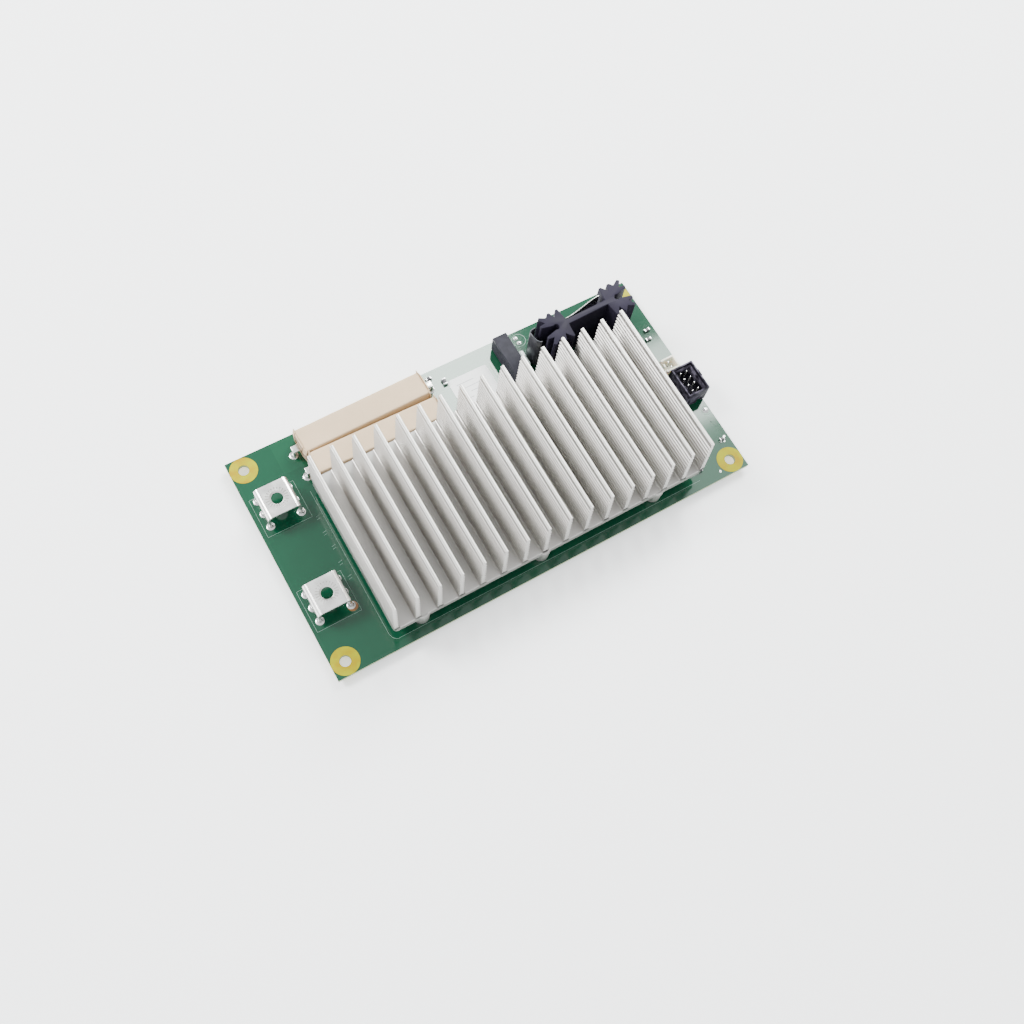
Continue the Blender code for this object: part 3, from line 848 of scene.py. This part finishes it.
CORNERS = ((5.7, 5.7), (5.7, 94.3), (184.3, 5.7), (184.3, 94.3))
TERMINALS = {"screw_terminal_1": (11.4, 73.7), "screw_terminal_2": (11.0, 30.2)}
TERMINAL_LEG_X = 6.6
TERMINAL_LEG_PITCH = 6.0
RESISTORS = {"rear": (57.6, 91.6, 10.8, 0.9), "front": (58.4, 79.9, 9.8, -0.7)}
RESISTOR_LENGTH = 56.6
RESISTOR_HEIGHT = 9.3
STRAP_X = 31.5
BOSS_X = (39.0, 92.5, 146.0)
BOSS_Y = (7.45, 70.3)
HEADER = (185.35, 41.9)
WAFER = (183.9, 53.6)
MODULE = (124.5, 87.3)
LABEL = (106.2, 84.1)


def header_pin_places():
    return [(HEADER[0] + 3 * (i - 0.5), HEADER[1] + 3 * (j - 1.5)) for i in range(2) for j in range(4)]


def terminal_leg_places():
    return [
        (x + side * TERMINAL_LEG_X, y + step * TERMINAL_LEG_PITCH)
        for x, y in TERMINALS.values() for side in (-1, 1) for step in (-1, 0, 1)
    ]


def strap_places():
    places = []
    for x, y, _, turn in RESISTORS.values():
        for side in (-1, 1):
            reach = side * STRAP_X
            places.append((x + reach, y + reach * math.sin(math.radians(turn))))
    return places


# ---------------------------------------------------------------------------
# Operators: one for each piece or group of like pieces
# ---------------------------------------------------------------------------

class POWERBOARD_OT_board(bpy.types.Operator):
    """Lacquers the board and adds its plated rings, printed lines, copper tracks and vias"""
    bl_idname = "power_board.board"
    bl_label = "Circuit Board"

    def execute(self, context):
        dress("circuit_board", "mask")
        self.add_rings()
        self.add_print()
        self.add_tracks()
        self.add_vias()
        return {"FINISHED"}

    def add_rings(self):
        s = sizes()
        film = 0.02 * MM
        rings = []
        for x, y in CORNERS:
            for low, high in ((BOARD_TOP, BOARD_HIGH.z), (BOARD_LOW.z, BOARD_UNDERSIDE)):
                inner = s.hole_radius + 0.05 * MM
                rings.append(ring("plated ring", inner, s.pad_radius, low - film, high + film, x, y, 64))
        item = join(rings, "plated_rings")
        settle(paint(item, "pad"))

    def add_print(self):
        lines = []
        lines += ink_frame("frame", 1.9, 63.9, 20.9, 81.4)
        lines += ink_frame("frame", 1.6, 20.6, 20.3, 38.7)
        lines += ink_path("outline", [(24.9, 74.0), (24.9, 7.0), (25.5, 5.2), (27.0, 3.9), (150.0, 3.7), (167.5, 3.7)])
        lines += ink_path("mark", [(117.0, 84.0), (117.0, 91.0)])
        for x, y in ((23.0, 62.4), (22.4, 55.2), (22.9, 48.4), (22.2, 41.3), (22.7, 34.4)):
            lines += ink_path("tick", [(x - 1.0, y + 0.6), (x + 0.6, y + 0.9)])
            lines += ink_path("tick", [(x - 1.0, y - 0.6), (x + 0.2, y - 0.4)])
        made = [ring("circle", 2.9 * MM, 3.1 * MM, BOARD_TOP, BOARD_TOP + 0.03 * MM, 134.0, 95.6, 40)]
        made.append(ring("circle", 1.75 * MM, 1.95 * MM, BOARD_TOP, BOARD_TOP + 0.03 * MM, 188.0, 29.7, 32))
        item = join(lines + made, "printed_lines")
        settle(paint(item, "ink"))

    def add_tracks(self):
        """Copper tracks under the lacquer, seen as slightly raised lines."""
        runs = [[(188.0, 29.7), (187.0, 24.0), (188.7, 17.0)]]
        lines = []
        for run in runs:
            lines += ink_path("track", run, 0.45 * MM)
        item = join(lines, "copper_tracks")
        settle(paint(item, "mask"))

    def add_vias(self):
        spots = [(185.6, 14.4), (187.0, 13.9), (188.3, 15.8), (177.7, 3.1)]
        vias = [ring("via", 0.22 * MM, 0.5 * MM, BOARD_TOP, BOARD_TOP + 0.04 * MM, x, y, 20) for x, y in spots]
        item = join(vias, "vias")
        settle(paint(item, "solder"))


class POWERBOARD_OT_heat_sink(bpy.types.Operator):
    """Adds the large heat sink: ridged, tapered fins on a rounded base with bored bosses"""
    bl_idname = "power_board.heat_sink"
    bl_label = "Heat Sink"

    def execute(self, context):
        base = self.base()
        fins = self.fins()
        cut(base, fins, "UNION")
        self.bosses(base)
        base.name = "finned_heat_sink"
        settle(paint(base, "aluminium"), ["heatsink"], 24.0)
        return {"FINISHED"}

    def edges(self):
        """Front, back, underside and top of the base."""
        front = point(0, 5.0).y
        underside = point(0, 0, 5.7).z
        return front, SINK_HIGH.y, underside, underside + sizes().base_thickness

    def base(self):
        front, back, low, high = self.edges()
        size = (SINK_HIGH.x - SINK_LOW.x, back - front, high - low)
        centre = Vector(((SINK_HIGH.x + SINK_LOW.x) / 2, (front + back) / 2, (low + high) / 2))
        item = start_block("base", size, centre)
        upright = lambda edge: abs(edge.verts[0].co.z - edge.verts[1].co.z) > 1 * MM
        bevel_edges(item, 1.6 * MM, 6, upright)
        bevel_edges(item, 0.3 * MM, 2, None, 60.0)
        return apply_place(item)

    def fin_levels(self, low, high):
        """(height, width) pairs: a flared root, fine ridges up the faces and a rounded tip."""
        s = sizes()
        tall = high - low
        root = s.fin_thickness * 1.16
        tip = s.fin_thickness * 0.84
        levels = [(low - 0.5 * MM, root + 1.4 * MM), (low, root + 1.3 * MM), (low + 0.15 * MM, root + 0.7 * MM)]
        levels.append((low + 0.5 * MM, root + 0.2 * MM))
        start = low + 0.9 * MM
        steps = 6
        count = int((tall - 2.4 * MM) / s.ridge_pitch) * steps
        for step in range(count + 1):
            height = start + step * s.ridge_pitch / steps
            width = root + (tip - root) * (height - low) / tall
            bulge = 1.0 if step % steps in (2, 3, 4) else 0.0
            levels.append((height, width - s.ridge_depth + 2.0 * s.ridge_depth * bulge))
        levels.append((high - 1.25 * MM, tip - 0.1 * MM))
        levels.append((high - 0.95 * MM, tip + 0.15 * MM))
        levels.append((high - 0.22 * MM, tip + 0.1 * MM))
        levels.append((high - 0.06 * MM, tip - 0.22 * MM))
        levels.append((high, tip - 0.5 * MM))
        return levels

    def fins(self):
        s = sizes()
        front, back, _, low = self.edges()
        high = SINK_HIGH.z
        fin = grown_block("fin", 0.0, (front + back) / 2, back - front, self.fin_levels(low, high))
        edit(fin, "FACE")
        bpy.ops.mesh.select_all(action="SELECT")
        lean = 1.35 * MM / (high - low)
        bpy.ops.mesh.bisect(
            plane_co=(0, front + 0.01 * MM, low), plane_no=(0, -1, lean), use_fill=True, clear_outer=True
        )
        leave_edit()
        left = SINK_LOW.x + s.fin_thickness / 2
        pitch = (SINK_HIGH.x - SINK_LOW.x - s.fin_thickness) / (s.fin_count - 1)
        rows = [copied(fin, f"fin {i}", (left + i * pitch, 0, 0)) for i in range(s.fin_count)]
        bpy.data.objects.remove(fin)
        rows = join(rows, "fins")
        for side, wall in ((-1, SINK_LOW.x), (1, SINK_HIGH.x)):
            edit(rows, "FACE")
            bpy.ops.mesh.select_all(action="SELECT")
            bpy.ops.mesh.bisect(
                plane_co=(wall - side * 0.02 * MM, 0, 0), plane_no=(side, 0, 0), use_fill=True, clear_outer=True
            )
            leave_edit()
        return rows

    def bosses(self, base):
        front, back, low, high = self.edges()
        bottom = SINK_LOW.z
        lugs = []
        bores = []
        for x in BOSS_X:
            for y in BOSS_Y:
                centre = point(x, y)
                centre.z = 0.0
                rings = [(bottom, 2.95 * MM), (bottom + 0.25 * MM, 3.2 * MM), (low - 0.5 * MM, 3.25 * MM)]
                rings += [(low + 0.1 * MM, 3.45 * MM), (high - 0.6 * MM, 3.3 * MM), (high - 0.35 * MM, 3.0 * MM)]
                lugs.append(turned("boss", centre, rings, 36))
                bores.append(turned("bore", centre, [(bottom - MM, 1.75 * MM), (low + 2.7 * MM, 1.75 * MM)], 20))
        cut(base, join(lugs, "bosses"), "UNION")
        cut(base, join(bores, "bores"))


class POWERBOARD_OT_resistors(bpy.types.Operator):
    """Adds the two ceramic power resistors with their cement-filled ends and flat straps"""
    bl_idname = "power_board.resistors"
    bl_label = "Power Resistors"

    def execute(self, context):
        for label, (x, y, depth, turn) in RESISTORS.items():
            self.body(label, x, y, depth, turn)
        for label in RESISTORS:
            for side in ("left", "right"):
                node = f"resistor_strap_{label}_{side}"
                strap = merged_copy(node, f"{node}_bent")
                bevel_edges(strap, 0.16 * MM, 3, None, 30.0)
                settle(paint(strap, "tin"), [node])
        return {"FINISHED"}

    def body(self, label, x, y, depth, turn):
        size = Vector((RESISTOR_LENGTH, depth, RESISTOR_HEIGHT)) * MM
        item = start_block(f"ceramic_{label}", size, (0, 0, 0))
        bevel_edges(item, 0.7 * MM, 4)
        pick(item, "FACE", lambda face: abs(face.normal.x) > 0.95)
        bpy.ops.mesh.inset(thickness=1.3 * MM, use_individual=True)
        bpy.ops.mesh.inset(thickness=0.25 * MM, depth=-0.35 * MM, use_individual=True)
        paint(item, "ceramic", "cement")
        item.active_material_index = 1
        item.data.update()
        bpy.ops.object.material_slot_assign()
        leave_edit()
        self.roughen(item, label)
        item.location = point(x, y, 0.3 + RESISTOR_HEIGHT / 2)
        item.rotation_euler.z = math.radians(turn)
        settle(item, [f"power_resistor_{label}"], 50.0)

    def roughen(self, item, label):
        """Cuts the box into small cells and lets them wander a little, as fired ceramic does."""
        edit(item, "FACE")
        for step in range(1, 48):
            bpy.ops.mesh.select_all(action="SELECT")
            place = -RESISTOR_LENGTH / 2 + step * RESISTOR_LENGTH / 48
            bpy.ops.mesh.bisect(plane_co=(place * MM, 0, 0), plane_no=(1, 0, 0))
        for step in range(-4, 5):
            bpy.ops.mesh.select_all(action="SELECT")
            bpy.ops.mesh.bisect(plane_co=(0, step * 1.05 * MM, 0), plane_no=(0, 1, 0))
        for step in range(-4, 5):
            bpy.ops.mesh.select_all(action="SELECT")
            bpy.ops.mesh.bisect(plane_co=(0, 0, step * 1.0 * MM), plane_no=(0, 0, 1))
        leave_edit()
        texture = bpy.data.textures.new(f"ceramic {label}", "CLOUDS")
        texture.noise_scale = 2.2 * MM
        texture.noise_depth = 3
        modify(item, "DISPLACE", texture=texture, strength=0.22 * MM, mid_level=0.62, texture_coords="LOCAL")


class POWERBOARD_OT_terminals(bpy.types.Operator):
    """Adds the two formed screw terminals with rounded bends and a knurled ring round the hole"""
    bl_idname = "power_board.terminals"
    bl_label = "Screw Terminals"

    def execute(self, context):
        first = self.terminal()
        for node, (x, y) in TERMINALS.items():
            item = copied(first, node + "_formed", point(x, y))
            # The second finish is a darker tin, painted shade for the knurled grooves.
            paint(item, "tin", "knurl_shade")
            self.paint_knurl_shade(item, point(x, y))
            settle(item, [node])
        bpy.data.objects.remove(first)
        return {"FINISHED"}

    def paint_knurl_shade(self, item, centre):
        """Gives the faces inside the knurled grooves a darker tin finish, as painted shade where shade falls in the
        grooves.
        """
        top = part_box("screw_terminal_1")[1].z
        for face in item.data.polygons:
            away = (face.center - centre).xy.length
            below = top - face.center.z
            if 2.9 * MM < away < sizes().knurl_radius + 0.1 * MM and 0.05 * MM < below < 0.8 * MM:
                # Painted shade: these groove faces take the darker tin.
                face.material_index = 1

    def terminal(self):
        """The terminal about its own middle, with the board's top at height zero."""
        low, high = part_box("screw_terminal_1")
        size = high - low
        tail = BOARD_TOP - low.z
        centre = Vector((0, 0, size.z / 2 - tail))
        item = start_block("terminal", size, centre)
        bends = lambda edge: abs(edge.verts[0].co.y - edge.verts[1].co.y) > MM and edge.verts[0].co.z > 0
        bevel_edges(item, 2.0 * MM, 10, bends)
        pick(item, "FACE", lambda face: abs(face.normal.y) > 0.9 or face.normal.z < -0.9)
        bpy.ops.mesh.delete(type="FACE")
        leave_edit()
        modify(item, "SOLIDIFY", thickness=1.0 * MM, offset=-1.0, use_even_offset=True)
        windows = []
        gap = (TERMINAL_LEG_PITCH - 1.6) * MM
        for step in (-0.5, 0.5):
            place = (0, step * TERMINAL_LEG_PITCH * MM, 1.9 * MM - 5 * MM)
            window = start_block("window", (30 * MM, gap, 10 * MM), place)
            across = lambda edge: abs(edge.verts[0].co.x - edge.verts[1].co.x) > MM and edge.verts[0].co.z > 0
            bevel_edges(window, 0.6 * MM, 4, across)
            windows.append(apply_place(window))
        cut(item, join(windows, "windows"))
        top = size.z - tail
        bevel_edges(item, 0.28 * MM, 4, lambda edge: edge.calc_length() > 0.7 * MM, 50.0)
        rings = [(5 * MM, 2.4 * MM), (top - 0.6 * MM, 2.4 * MM), (top + 0.05 * MM, 3.1 * MM), (top + MM, 3.1 * MM)]
        cut(item, turned("hole", Vector((0, 0, 0)), rings, 64))
        self.knurl(item, top)
        return item

    def knurl(self, item, top):
        """Radial grooves between two rings, cut into the plate round the hole."""
        s = sizes()
        teeth = []
        inner = 3.0 * MM
        for number in range(s.knurl_teeth):
            tooth = start_block("groove", (s.knurl_radius - inner, 0.52 * MM, 1.4 * MM), (0, 0, 0))
            tooth.location = ((s.knurl_radius + inner) / 2, 0, top + 0.10 * MM)
            apply_place(tooth)
            tooth.data.transform(Matrix.Rotation(number * math.tau / s.knurl_teeth, 4, "Z"))
            teeth.append(tooth)
        cut(item, join(teeth, "grooves"))


class POWERBOARD_OT_star_sink(bpy.types.Operator):
    """Adds the small star-finned heat sink, its pins, its springs and the regulator behind it"""
    bl_idname = "power_board.star_sink"
    bl_label = "Star Heat Sink"

    def execute(self, context):
        star = merged_copy("star_heatsink", "star_finned_sink")
        bevel_edges(star, 0.16 * MM, 2, None, 30.0)
        settle(paint(star, "anodised"), ["star_heatsink"])
        leaf = merged_copy("leaf_spring", "leaf_spring_bowed")
        bevel_edges(leaf, 0.12 * MM, 2, None, 50.0)
        settle(paint(leaf, "spring"), ["leaf_spring"])
        hook = merged_copy("hook_spring", "hook_spring_bent")
        bevel_edges(hook, 0.12 * MM, 2, None, 50.0)
        settle(paint(hook, "dark_spring"), ["hook_spring"])
        body = merged_copy("regulator", "regulator_moulded")
        settle(paint(body, "black_plastic"), ["regulator"])
        for number in (1, 2):
            dress(f"star_heatsink_pin_{number}", "tin")
        return {"FINISHED"}


class POWERBOARD_OT_module(bpy.types.Operator):
    """Adds the slim converter module and the film capacitor beside it"""
    bl_idname = "power_board.module"
    bl_label = "Converter Module"

    def execute(self, context):
        low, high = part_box("converter_module")
        bottom = point(0, 0, 0.5).z
        width = high.x - low.x
        tall = high.z - bottom
        levels = [(bottom, width - 0.5 * MM), (bottom + 0.2 * MM, width - 0.1 * MM)]
        grooves = 9
        for number in range(grooves):
            height = bottom + 0.6 * MM + number * (tall - 1.6 * MM) / grooves
            levels += [(height, width), (height + 0.3 * MM, width), (height + 0.38 * MM, width - 0.16 * MM)]
            levels += [(height + 0.5 * MM, width - 0.16 * MM), (height + 0.58 * MM, width)]
        levels += [(high.z - 0.3 * MM, width), (high.z, width - 0.3 * MM)]
        centre = (low + high) / 2
        case = grown_block("converter_case", centre.x, centre.y, high.y - low.y, levels)
        reach = (high.y - low.y) / 2 - 0.01 * MM
        bevel_edges(
            case, 0.2 * MM, 3,
            lambda edge: abs(middle(edge).y - centre.y) > reach and middle(edge).z > high.z - 0.35 * MM,
        )
        pins = []
        for step in (-3, -2, 1, 3):
            place = point(MODULE[0], MODULE[1] + 2.54 * step, -0.9)
            pins.append(start_block("pin", (0.64 * MM, 0.64 * MM, 3.8 * MM), place))
        pins = join([apply_place(pin) for pin in pins], "converter_pins")
        settle(paint(pins, "tin"))
        settle(paint(case, "module"), ["converter_module"])
        self.capacitor()
        return {"FINISHED"}

    def capacitor(self):
        low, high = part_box("film_capacitor")
        item = start_block("film_capacitor_case", high - low, (low + high) / 2)
        bevel_edges(item, 0.85 * MM, 6)
        pick(item, "FACE", lambda face: face.normal.z < -0.95)
        bpy.ops.mesh.inset(thickness=0.4 * MM)
        bpy.ops.mesh.inset(thickness=0.05 * MM, depth=-0.15 * MM)
        leave_edit()
        settle(paint(item, "film"), ["film_capacitor"])


class POWERBOARD_OT_header(bpy.types.Operator):
    """Adds the box header with its corner posts, latch, thin rim and eight pins"""
    bl_idname = "power_board.header"
    bl_label = "Box Header"

    def execute(self, context):
        self.shell()
        self.pins()
        return {"FINISHED"}

    def shell(self):
        low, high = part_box("header_shell")
        x, y = HEADER
        size = Vector((10.3, 14.2, 0)) * MM
        size.z = high.z - low.z
        centre = point(x, y)
        centre.z = (low.z + high.z) / 2
        item = start_block("box_header", size, centre)
        pick(item, "FACE", lambda face: face.normal.z > 0.9)
        bpy.ops.mesh.inset(thickness=0.62 * MM)
        bpy.ops.mesh.extrude_region_move(TRANSFORM_OT_translate={"value": (0, 0, -1.2 * MM)})
        bpy.ops.mesh.inset(thickness=0.4 * MM)
        bpy.ops.mesh.extrude_region_move(TRANSFORM_OT_translate={"value": (0, 0, -(size.z - 3.4 * MM))})
        leave_edit()
        apply_place(item)
        bumps = [
            ((1.3, 3.2, 3.0), (x + 5.15, y + 0.9, 8.4)),
            ((1.0, 1.0, 4.4), (x + 4.55, y + 6.5, 8.15)),
            ((1.2, 1.2, 4.4), (x + 4.45, y - 6.4, 8.15)),
            ((1.1, 2.4, 6.0), (x - 4.35, y + 3.1, 7.25)),
            ((1.0, 2.6, 6.0), (x - 4.35, y - 3.2, 7.25)),
        ]
        blocks = []
        for number, (bump, (bx, by, bz)) in enumerate(bumps):
            place = point(bx, by, bz + 0.013 * number)
            if number == 0:
                place.x = high.x - bump[0] / 2 * MM
            block = start_block("bump", Vector(bump) * MM, place)
            blocks.append(bevel_edges(apply_place(block), 0.18 * MM, 2))
        cut(item, join(blocks, "bumps"), "UNION")
        arch = start_cylinder("arch", 1.5 * MM, 6 * MM, point(x + 2.3, y - 7.2, 1.4), 28)
        arch.rotation_euler.x = math.radians(90)
        cut(item, apply_place(arch))
        bevel_edges(item, 0.10 * MM, 2, None, 45.0)
        settle(paint(item, "header"), ["header_shell"])

    def pins(self):
        """Square pins with tapered tips, modelled once."""
        low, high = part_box("header_pin_1")
        x, y = header_pin_places()[0]
        centre = point(x, y)
        centre.z = (low.z + high.z) / 2 - 0.2 * MM
        first = start_block("pin", (0.64 * MM, 0.64 * MM, high.z - low.z - 0.4 * MM), centre)
        pick(first, "FACE", lambda face: face.normal.z > 0.9)
        bpy.ops.mesh.extrude_region_move(TRANSFORM_OT_translate={"value": (0, 0, 0.4 * MM)})
        bpy.ops.transform.resize(value=(0.6, 0.6, 1), center_override=(centre.x, centre.y, high.z))
        leave_edit()
        apply_place(first)
        bevel_edges(first, 0.05 * MM, 2)
        for number, (px, py) in enumerate(header_pin_places(), 1):
            node = f"header_pin_{number}"
            item = copied(first, node + "_tapered", ((px - x) * MM, (py - y) * MM, 0))
            settle(paint(item, "tin"), [node])
        bpy.data.objects.remove(first)


class POWERBOARD_OT_wafer(bpy.types.Operator):
    """Adds the cream wafer connector behind the header, and its two pins"""
    bl_idname = "power_board.wafer"
    bl_label = "Wafer Connector"

    def execute(self, context):
        item = merged_copy("wafer_housing", "wafer_connector")
        low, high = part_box("wafer_housing")
        for step in (-1, 1):
            place = Vector((low.x, (low.y + high.y) / 2 + step * 1.5 * MM, high.z - 1.2 * MM))
            cut(item, apply_place(start_block("slot", (3 * MM, 1.1 * MM, 3.4 * MM), place)))
        bevel_edges(item, 0.15 * MM, 2, None, 45.0)
        settle(paint(item, "ivory"), ["wafer_housing"])
        for number in (1, 2):
            node = f"wafer_pin_{number}"
            pin = merged_copy(node, node + "_squared")
            bevel_edges(pin, 0.12 * MM, 2)
            settle(paint(pin, "tin"), [node])
        return {"FINISHED"}


class POWERBOARD_OT_label(bpy.types.Operator):
    """Adds the white label with rounded corners and plain grey rules"""
    bl_idname = "power_board.label"
    bl_label = "Label"

    def execute(self, context):
        low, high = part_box("board_label")
        thick = 0.16 * MM
        centre = Vector(((low.x + high.x) / 2, (low.y + high.y) / 2, BOARD_TOP + thick / 2))
        item = start_block("paper_label", (high.x - low.x, high.y - low.y, thick), centre)
        upright = lambda edge: abs(edge.verts[0].co.z - edge.verts[1].co.z) > 0.1 * MM
        bevel_edges(item, 1.1 * MM, 6, upright)
        settle(paint(item, "label"), ["board_label"])
        rules = []
        for number, (dx, dy, length) in enumerate(((-2.6, 4.4, 8.0), (-0.6, 1.9, 9.4), (1.4, -0.5, 7.2), (-4.0, -3.1, 3.6))):
            place = centre + Vector((dx * MM, dy * MM, thick / 2))
            rules.append(apply_place(start_block("rule", (length * MM, 0.28 * MM, 0.02 * MM), place)))
        settle(paint(join(rules, "label_rules"), "print"))
        return {"FINISHED"}


class POWERBOARD_OT_small_parts(bpy.types.Operator):
    """Adds the chip parts with tinned end caps, and finishes the transistors, pad and screws"""
    bl_idname = "power_board.small_parts"
    bl_label = "Small Parts"

    def execute(self, context):
        for number in range(1, 7):
            self.chip(f"chip_part_{number}")
            body = merged_copy(f"power_transistor_{number}", f"power_transistor_{number}_moulded")
            settle(paint(body, "black_plastic"), [f"power_transistor_{number}"])
            dress(f"heatsink_screw_{number}", "zinc")
        dress("thermal_pad", "rubber")
        return {"FINISHED"}

    def chip(self, node):
        low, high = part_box(node)
        low = Vector((low.x, low.y, BOARD_TOP))
        size = high - low
        centre = (low + high) / 2
        along = Vector((1, 0, 0)) if size.x > size.y else Vector((0, 1, 0))
        long = max(size.x, size.y)
        middle = size * 0.93
        body = start_block("body", middle, centre)
        bevel_edges(body, 0.08 * MM, 2)
        paint(body, "chip", "solder")
        caps = [apply_place(body)]
        for side in (-1, 1):
            cap_size = Vector(size)
            cap_size -= along * (long * 0.76)
            cap = start_block("cap", cap_size, centre + along * side * long * 0.38)
            bevel_edges(cap, 0.10 * MM, 3)
            caps.append(paint(apply_place(cap), "solder"))
        item = join(caps, node + "_soldered")
        settle(item, [node])


class POWERBOARD_OT_solder(bpy.types.Operator):
    """Adds the solder joints on both faces of the board and the flux stain by one terminal leg"""
    bl_idname = "power_board.solder"
    bl_label = "Solder Joints"

    def execute(self, context):
        legs = scatter_joints("terminal_solder", terminal_leg_places(), 1.75 * MM, 0.9 * MM, 0.8 * MM)
        settle(paint(legs, "solder"))
        straps = scatter_joints("strap_solder", strap_places(), 1.9 * MM, 1.0 * MM, 0.9 * MM)
        settle(paint(straps, "solder"))
        lone = scatter_joints("lone_pad_solder", [(188.0, 29.7)], 1.35 * MM, 0.5 * MM, 0.5 * MM)
        settle(paint(lone, "solder"))
        loose = [(133.1, 97.0), (133.5, 94.4)]
        spots = scatter_joints("pad_solder", loose, 0.95 * MM, 0.5 * MM, 0.35 * MM)
        settle(paint(spots, "solder"))
        self.underside()
        self.flux()
        return {"FINISHED"}

    def underside(self):
        wide = scatter_joints(
            "underside_wide_solder", terminal_leg_places() + strap_places(), 1.8 * MM, 1.15 * MM, 0.8 * MM, True
        )
        settle(paint(wide, "solder"))
        fine = header_pin_places() + [(WAFER[0], WAFER[1] + 2.5 * (i - 0.5)) for i in range(2)]
        fine += [(MODULE[0], MODULE[1] + 2.54 * i) for i in (-3, -2, 1, 3)]
        fine += [(x + 5.45 * i, 27.0) for x in (42.0, 64.0, 86.0, 108.0, 130.0, 152.0) for i in (-1, 0, 1)]
        small = scatter_joints("underside_fine_solder", fine, 1.0 * MM, 0.9 * MM, 0.45 * MM, True)
        settle(paint(small, "solder"))

    def flux(self):
        """A thin brown stain at the front right leg of the front terminal."""
        x, y = TERMINALS["screw_terminal_2"]
        centre = point(x + TERMINAL_LEG_X + 0.4, y - TERMINAL_LEG_PITCH - 0.6)
        item = turned("flux_stain", centre, [(BOARD_TOP - 0.02 * MM, 2.15 * MM), (BOARD_TOP + 0.05 * MM, 2.0 * MM),
                                             (BOARD_TOP + 0.08 * MM, 1.6 * MM)], 36)
        settle(paint(item, "flux"))


class POWERBOARD_OT_stage(bpy.types.Operator):
    """Adds the pale floor, the soft studio lights and the camera"""
    bl_idname = "power_board.stage"
    bl_label = "Stage"

    def execute(self, context):
        self.floor()
        self.lights()
        self.camera()
        return {"FINISHED"}

    def floor(self):
        deselect()
        bpy.ops.mesh.primitive_plane_add(size=6.0, location=(0, 0, 0))
        floor = bpy.context.object
        floor.name = "studio_floor"
        paint(floor, "floor")

    def area_light(self, name, place, target, width, height, power, colour=(1, 1, 1)):
        light = bpy.data.lights.new(name, "AREA")
        light.shape = "RECTANGLE"
        light.size = width
        light.size_y = height
        light.energy = power
        light.color = colour
        item = bpy.data.objects.new(name, light)
        bpy.context.scene.collection.objects.link(item)
        item.location = place
        item.rotation_euler = (Vector(target) - Vector(place)).to_track_quat("-Z", "Y").to_euler()
        return item

    def softbox(self, name, left, right, front, back, height, power):
        """A downward panel over part of the board's grid, in millimetres, at a height in metres."""
        place = point((left + right) / 2, (front + back) / 2)
        place.z = height
        target = Vector((place.x, place.y, 0.0))
        return self.area_light(
            name, place, target, (right - left) * MM, (back - front) * MM, power, (0.90, 1.0, 0.94)
        )

    def lights(self):
        """A pale world, wide soft panels past the mirror zone, and three that shine back off the lacquer."""
        world = bpy.data.worlds.new("soft studio")
        world.use_nodes = True
        background = world.node_tree.nodes["Background"]
        background.inputs["Color"].default_value = (0.96, 0.98, 1.0, 1.0)
        background.inputs["Strength"].default_value = 1.3
        bpy.context.scene.world = world
        centre = (0.0, 0.0, 0.0)
        self.area_light("right rear softbox", (1.0, 0.8, 1.0), centre, 0.7, 0.7, 44.0)
        self.area_light("left rear softbox", (-0.70, 0.70, 0.95), centre, 0.4, 0.4, 24.0)
        self.area_light("left softbox", (-0.9, 0.4, 0.9), centre, 0.8, 0.8, 5.0)
        self.softbox("bright panel", 555, 720, 290, 429, 0.9, 1.8)
        self.softbox("dim panel", 555, 720, 130, 290, 0.9, 0.3)
        self.softbox("rear panel", 320, 460, 440, 620, 0.9, 3.4)

    def camera(self):
        """The lens, the place and the aim, with the camera rolled about its own axis."""
        camera = bpy.data.cameras.new("camera")
        camera.lens = 38.69
        camera.sensor_width = 36.0
        camera.clip_start = 0.01
        item = bpy.data.objects.new("camera", camera)
        bpy.context.scene.collection.objects.link(item)
        place = point(-22.9, -95.6, 409.3)
        aim = point(91.65, 28.3)
        look = (aim - place).to_track_quat("-Z", "Y").to_matrix().to_4x4()
        item.matrix_world = Matrix.Translation(place) @ look @ Matrix.Rotation(math.radians(13.61), 4, "Z")
        bpy.context.scene.camera = item


STEPS = (
    POWERBOARD_OT_board,
    POWERBOARD_OT_heat_sink,
    POWERBOARD_OT_resistors,
    POWERBOARD_OT_terminals,
    POWERBOARD_OT_star_sink,
    POWERBOARD_OT_module,
    POWERBOARD_OT_header,
    POWERBOARD_OT_wafer,
    POWERBOARD_OT_label,
    POWERBOARD_OT_small_parts,
    POWERBOARD_OT_solder,
    POWERBOARD_OT_stage,
)


class POWERBOARD_PT_panel(bpy.types.Panel):
    """Sizes, colours and steps of the power control board"""
    bl_label = "Power Control Board"
    bl_idname = "POWERBOARD_PT_panel"
    bl_space_type = "VIEW_3D"
    bl_region_type = "UI"
    bl_category = "Power Board"

    def draw(self, context):
        layout = self.layout
        for settings in (context.scene.power_board_sizes, context.scene.power_board_colours):
            box = layout.box()
            for name in settings.__annotations__:
                box.prop(settings, name)
        for step in STEPS:
            layout.operator(step.bl_idname)


CLASSES = (PowerBoardSizes, PowerBoardColours, *STEPS, POWERBOARD_PT_panel)


def register():
    for item in CLASSES:
        bpy.utils.register_class(item)
    bpy.types.Scene.power_board_sizes = bpy.props.PointerProperty(type=PowerBoardSizes)
    bpy.types.Scene.power_board_colours = bpy.props.PointerProperty(type=PowerBoardColours)


def unregister():
    del bpy.types.Scene.power_board_colours
    del bpy.types.Scene.power_board_sizes
    for item in reversed(CLASSES):
        bpy.utils.unregister_class(item)


def main():
    register()
    for step in STEPS:
        family, name = step.bl_idname.split(".")
        getattr(getattr(bpy.ops, family), name)()


if __name__ == "__main__":
    main()
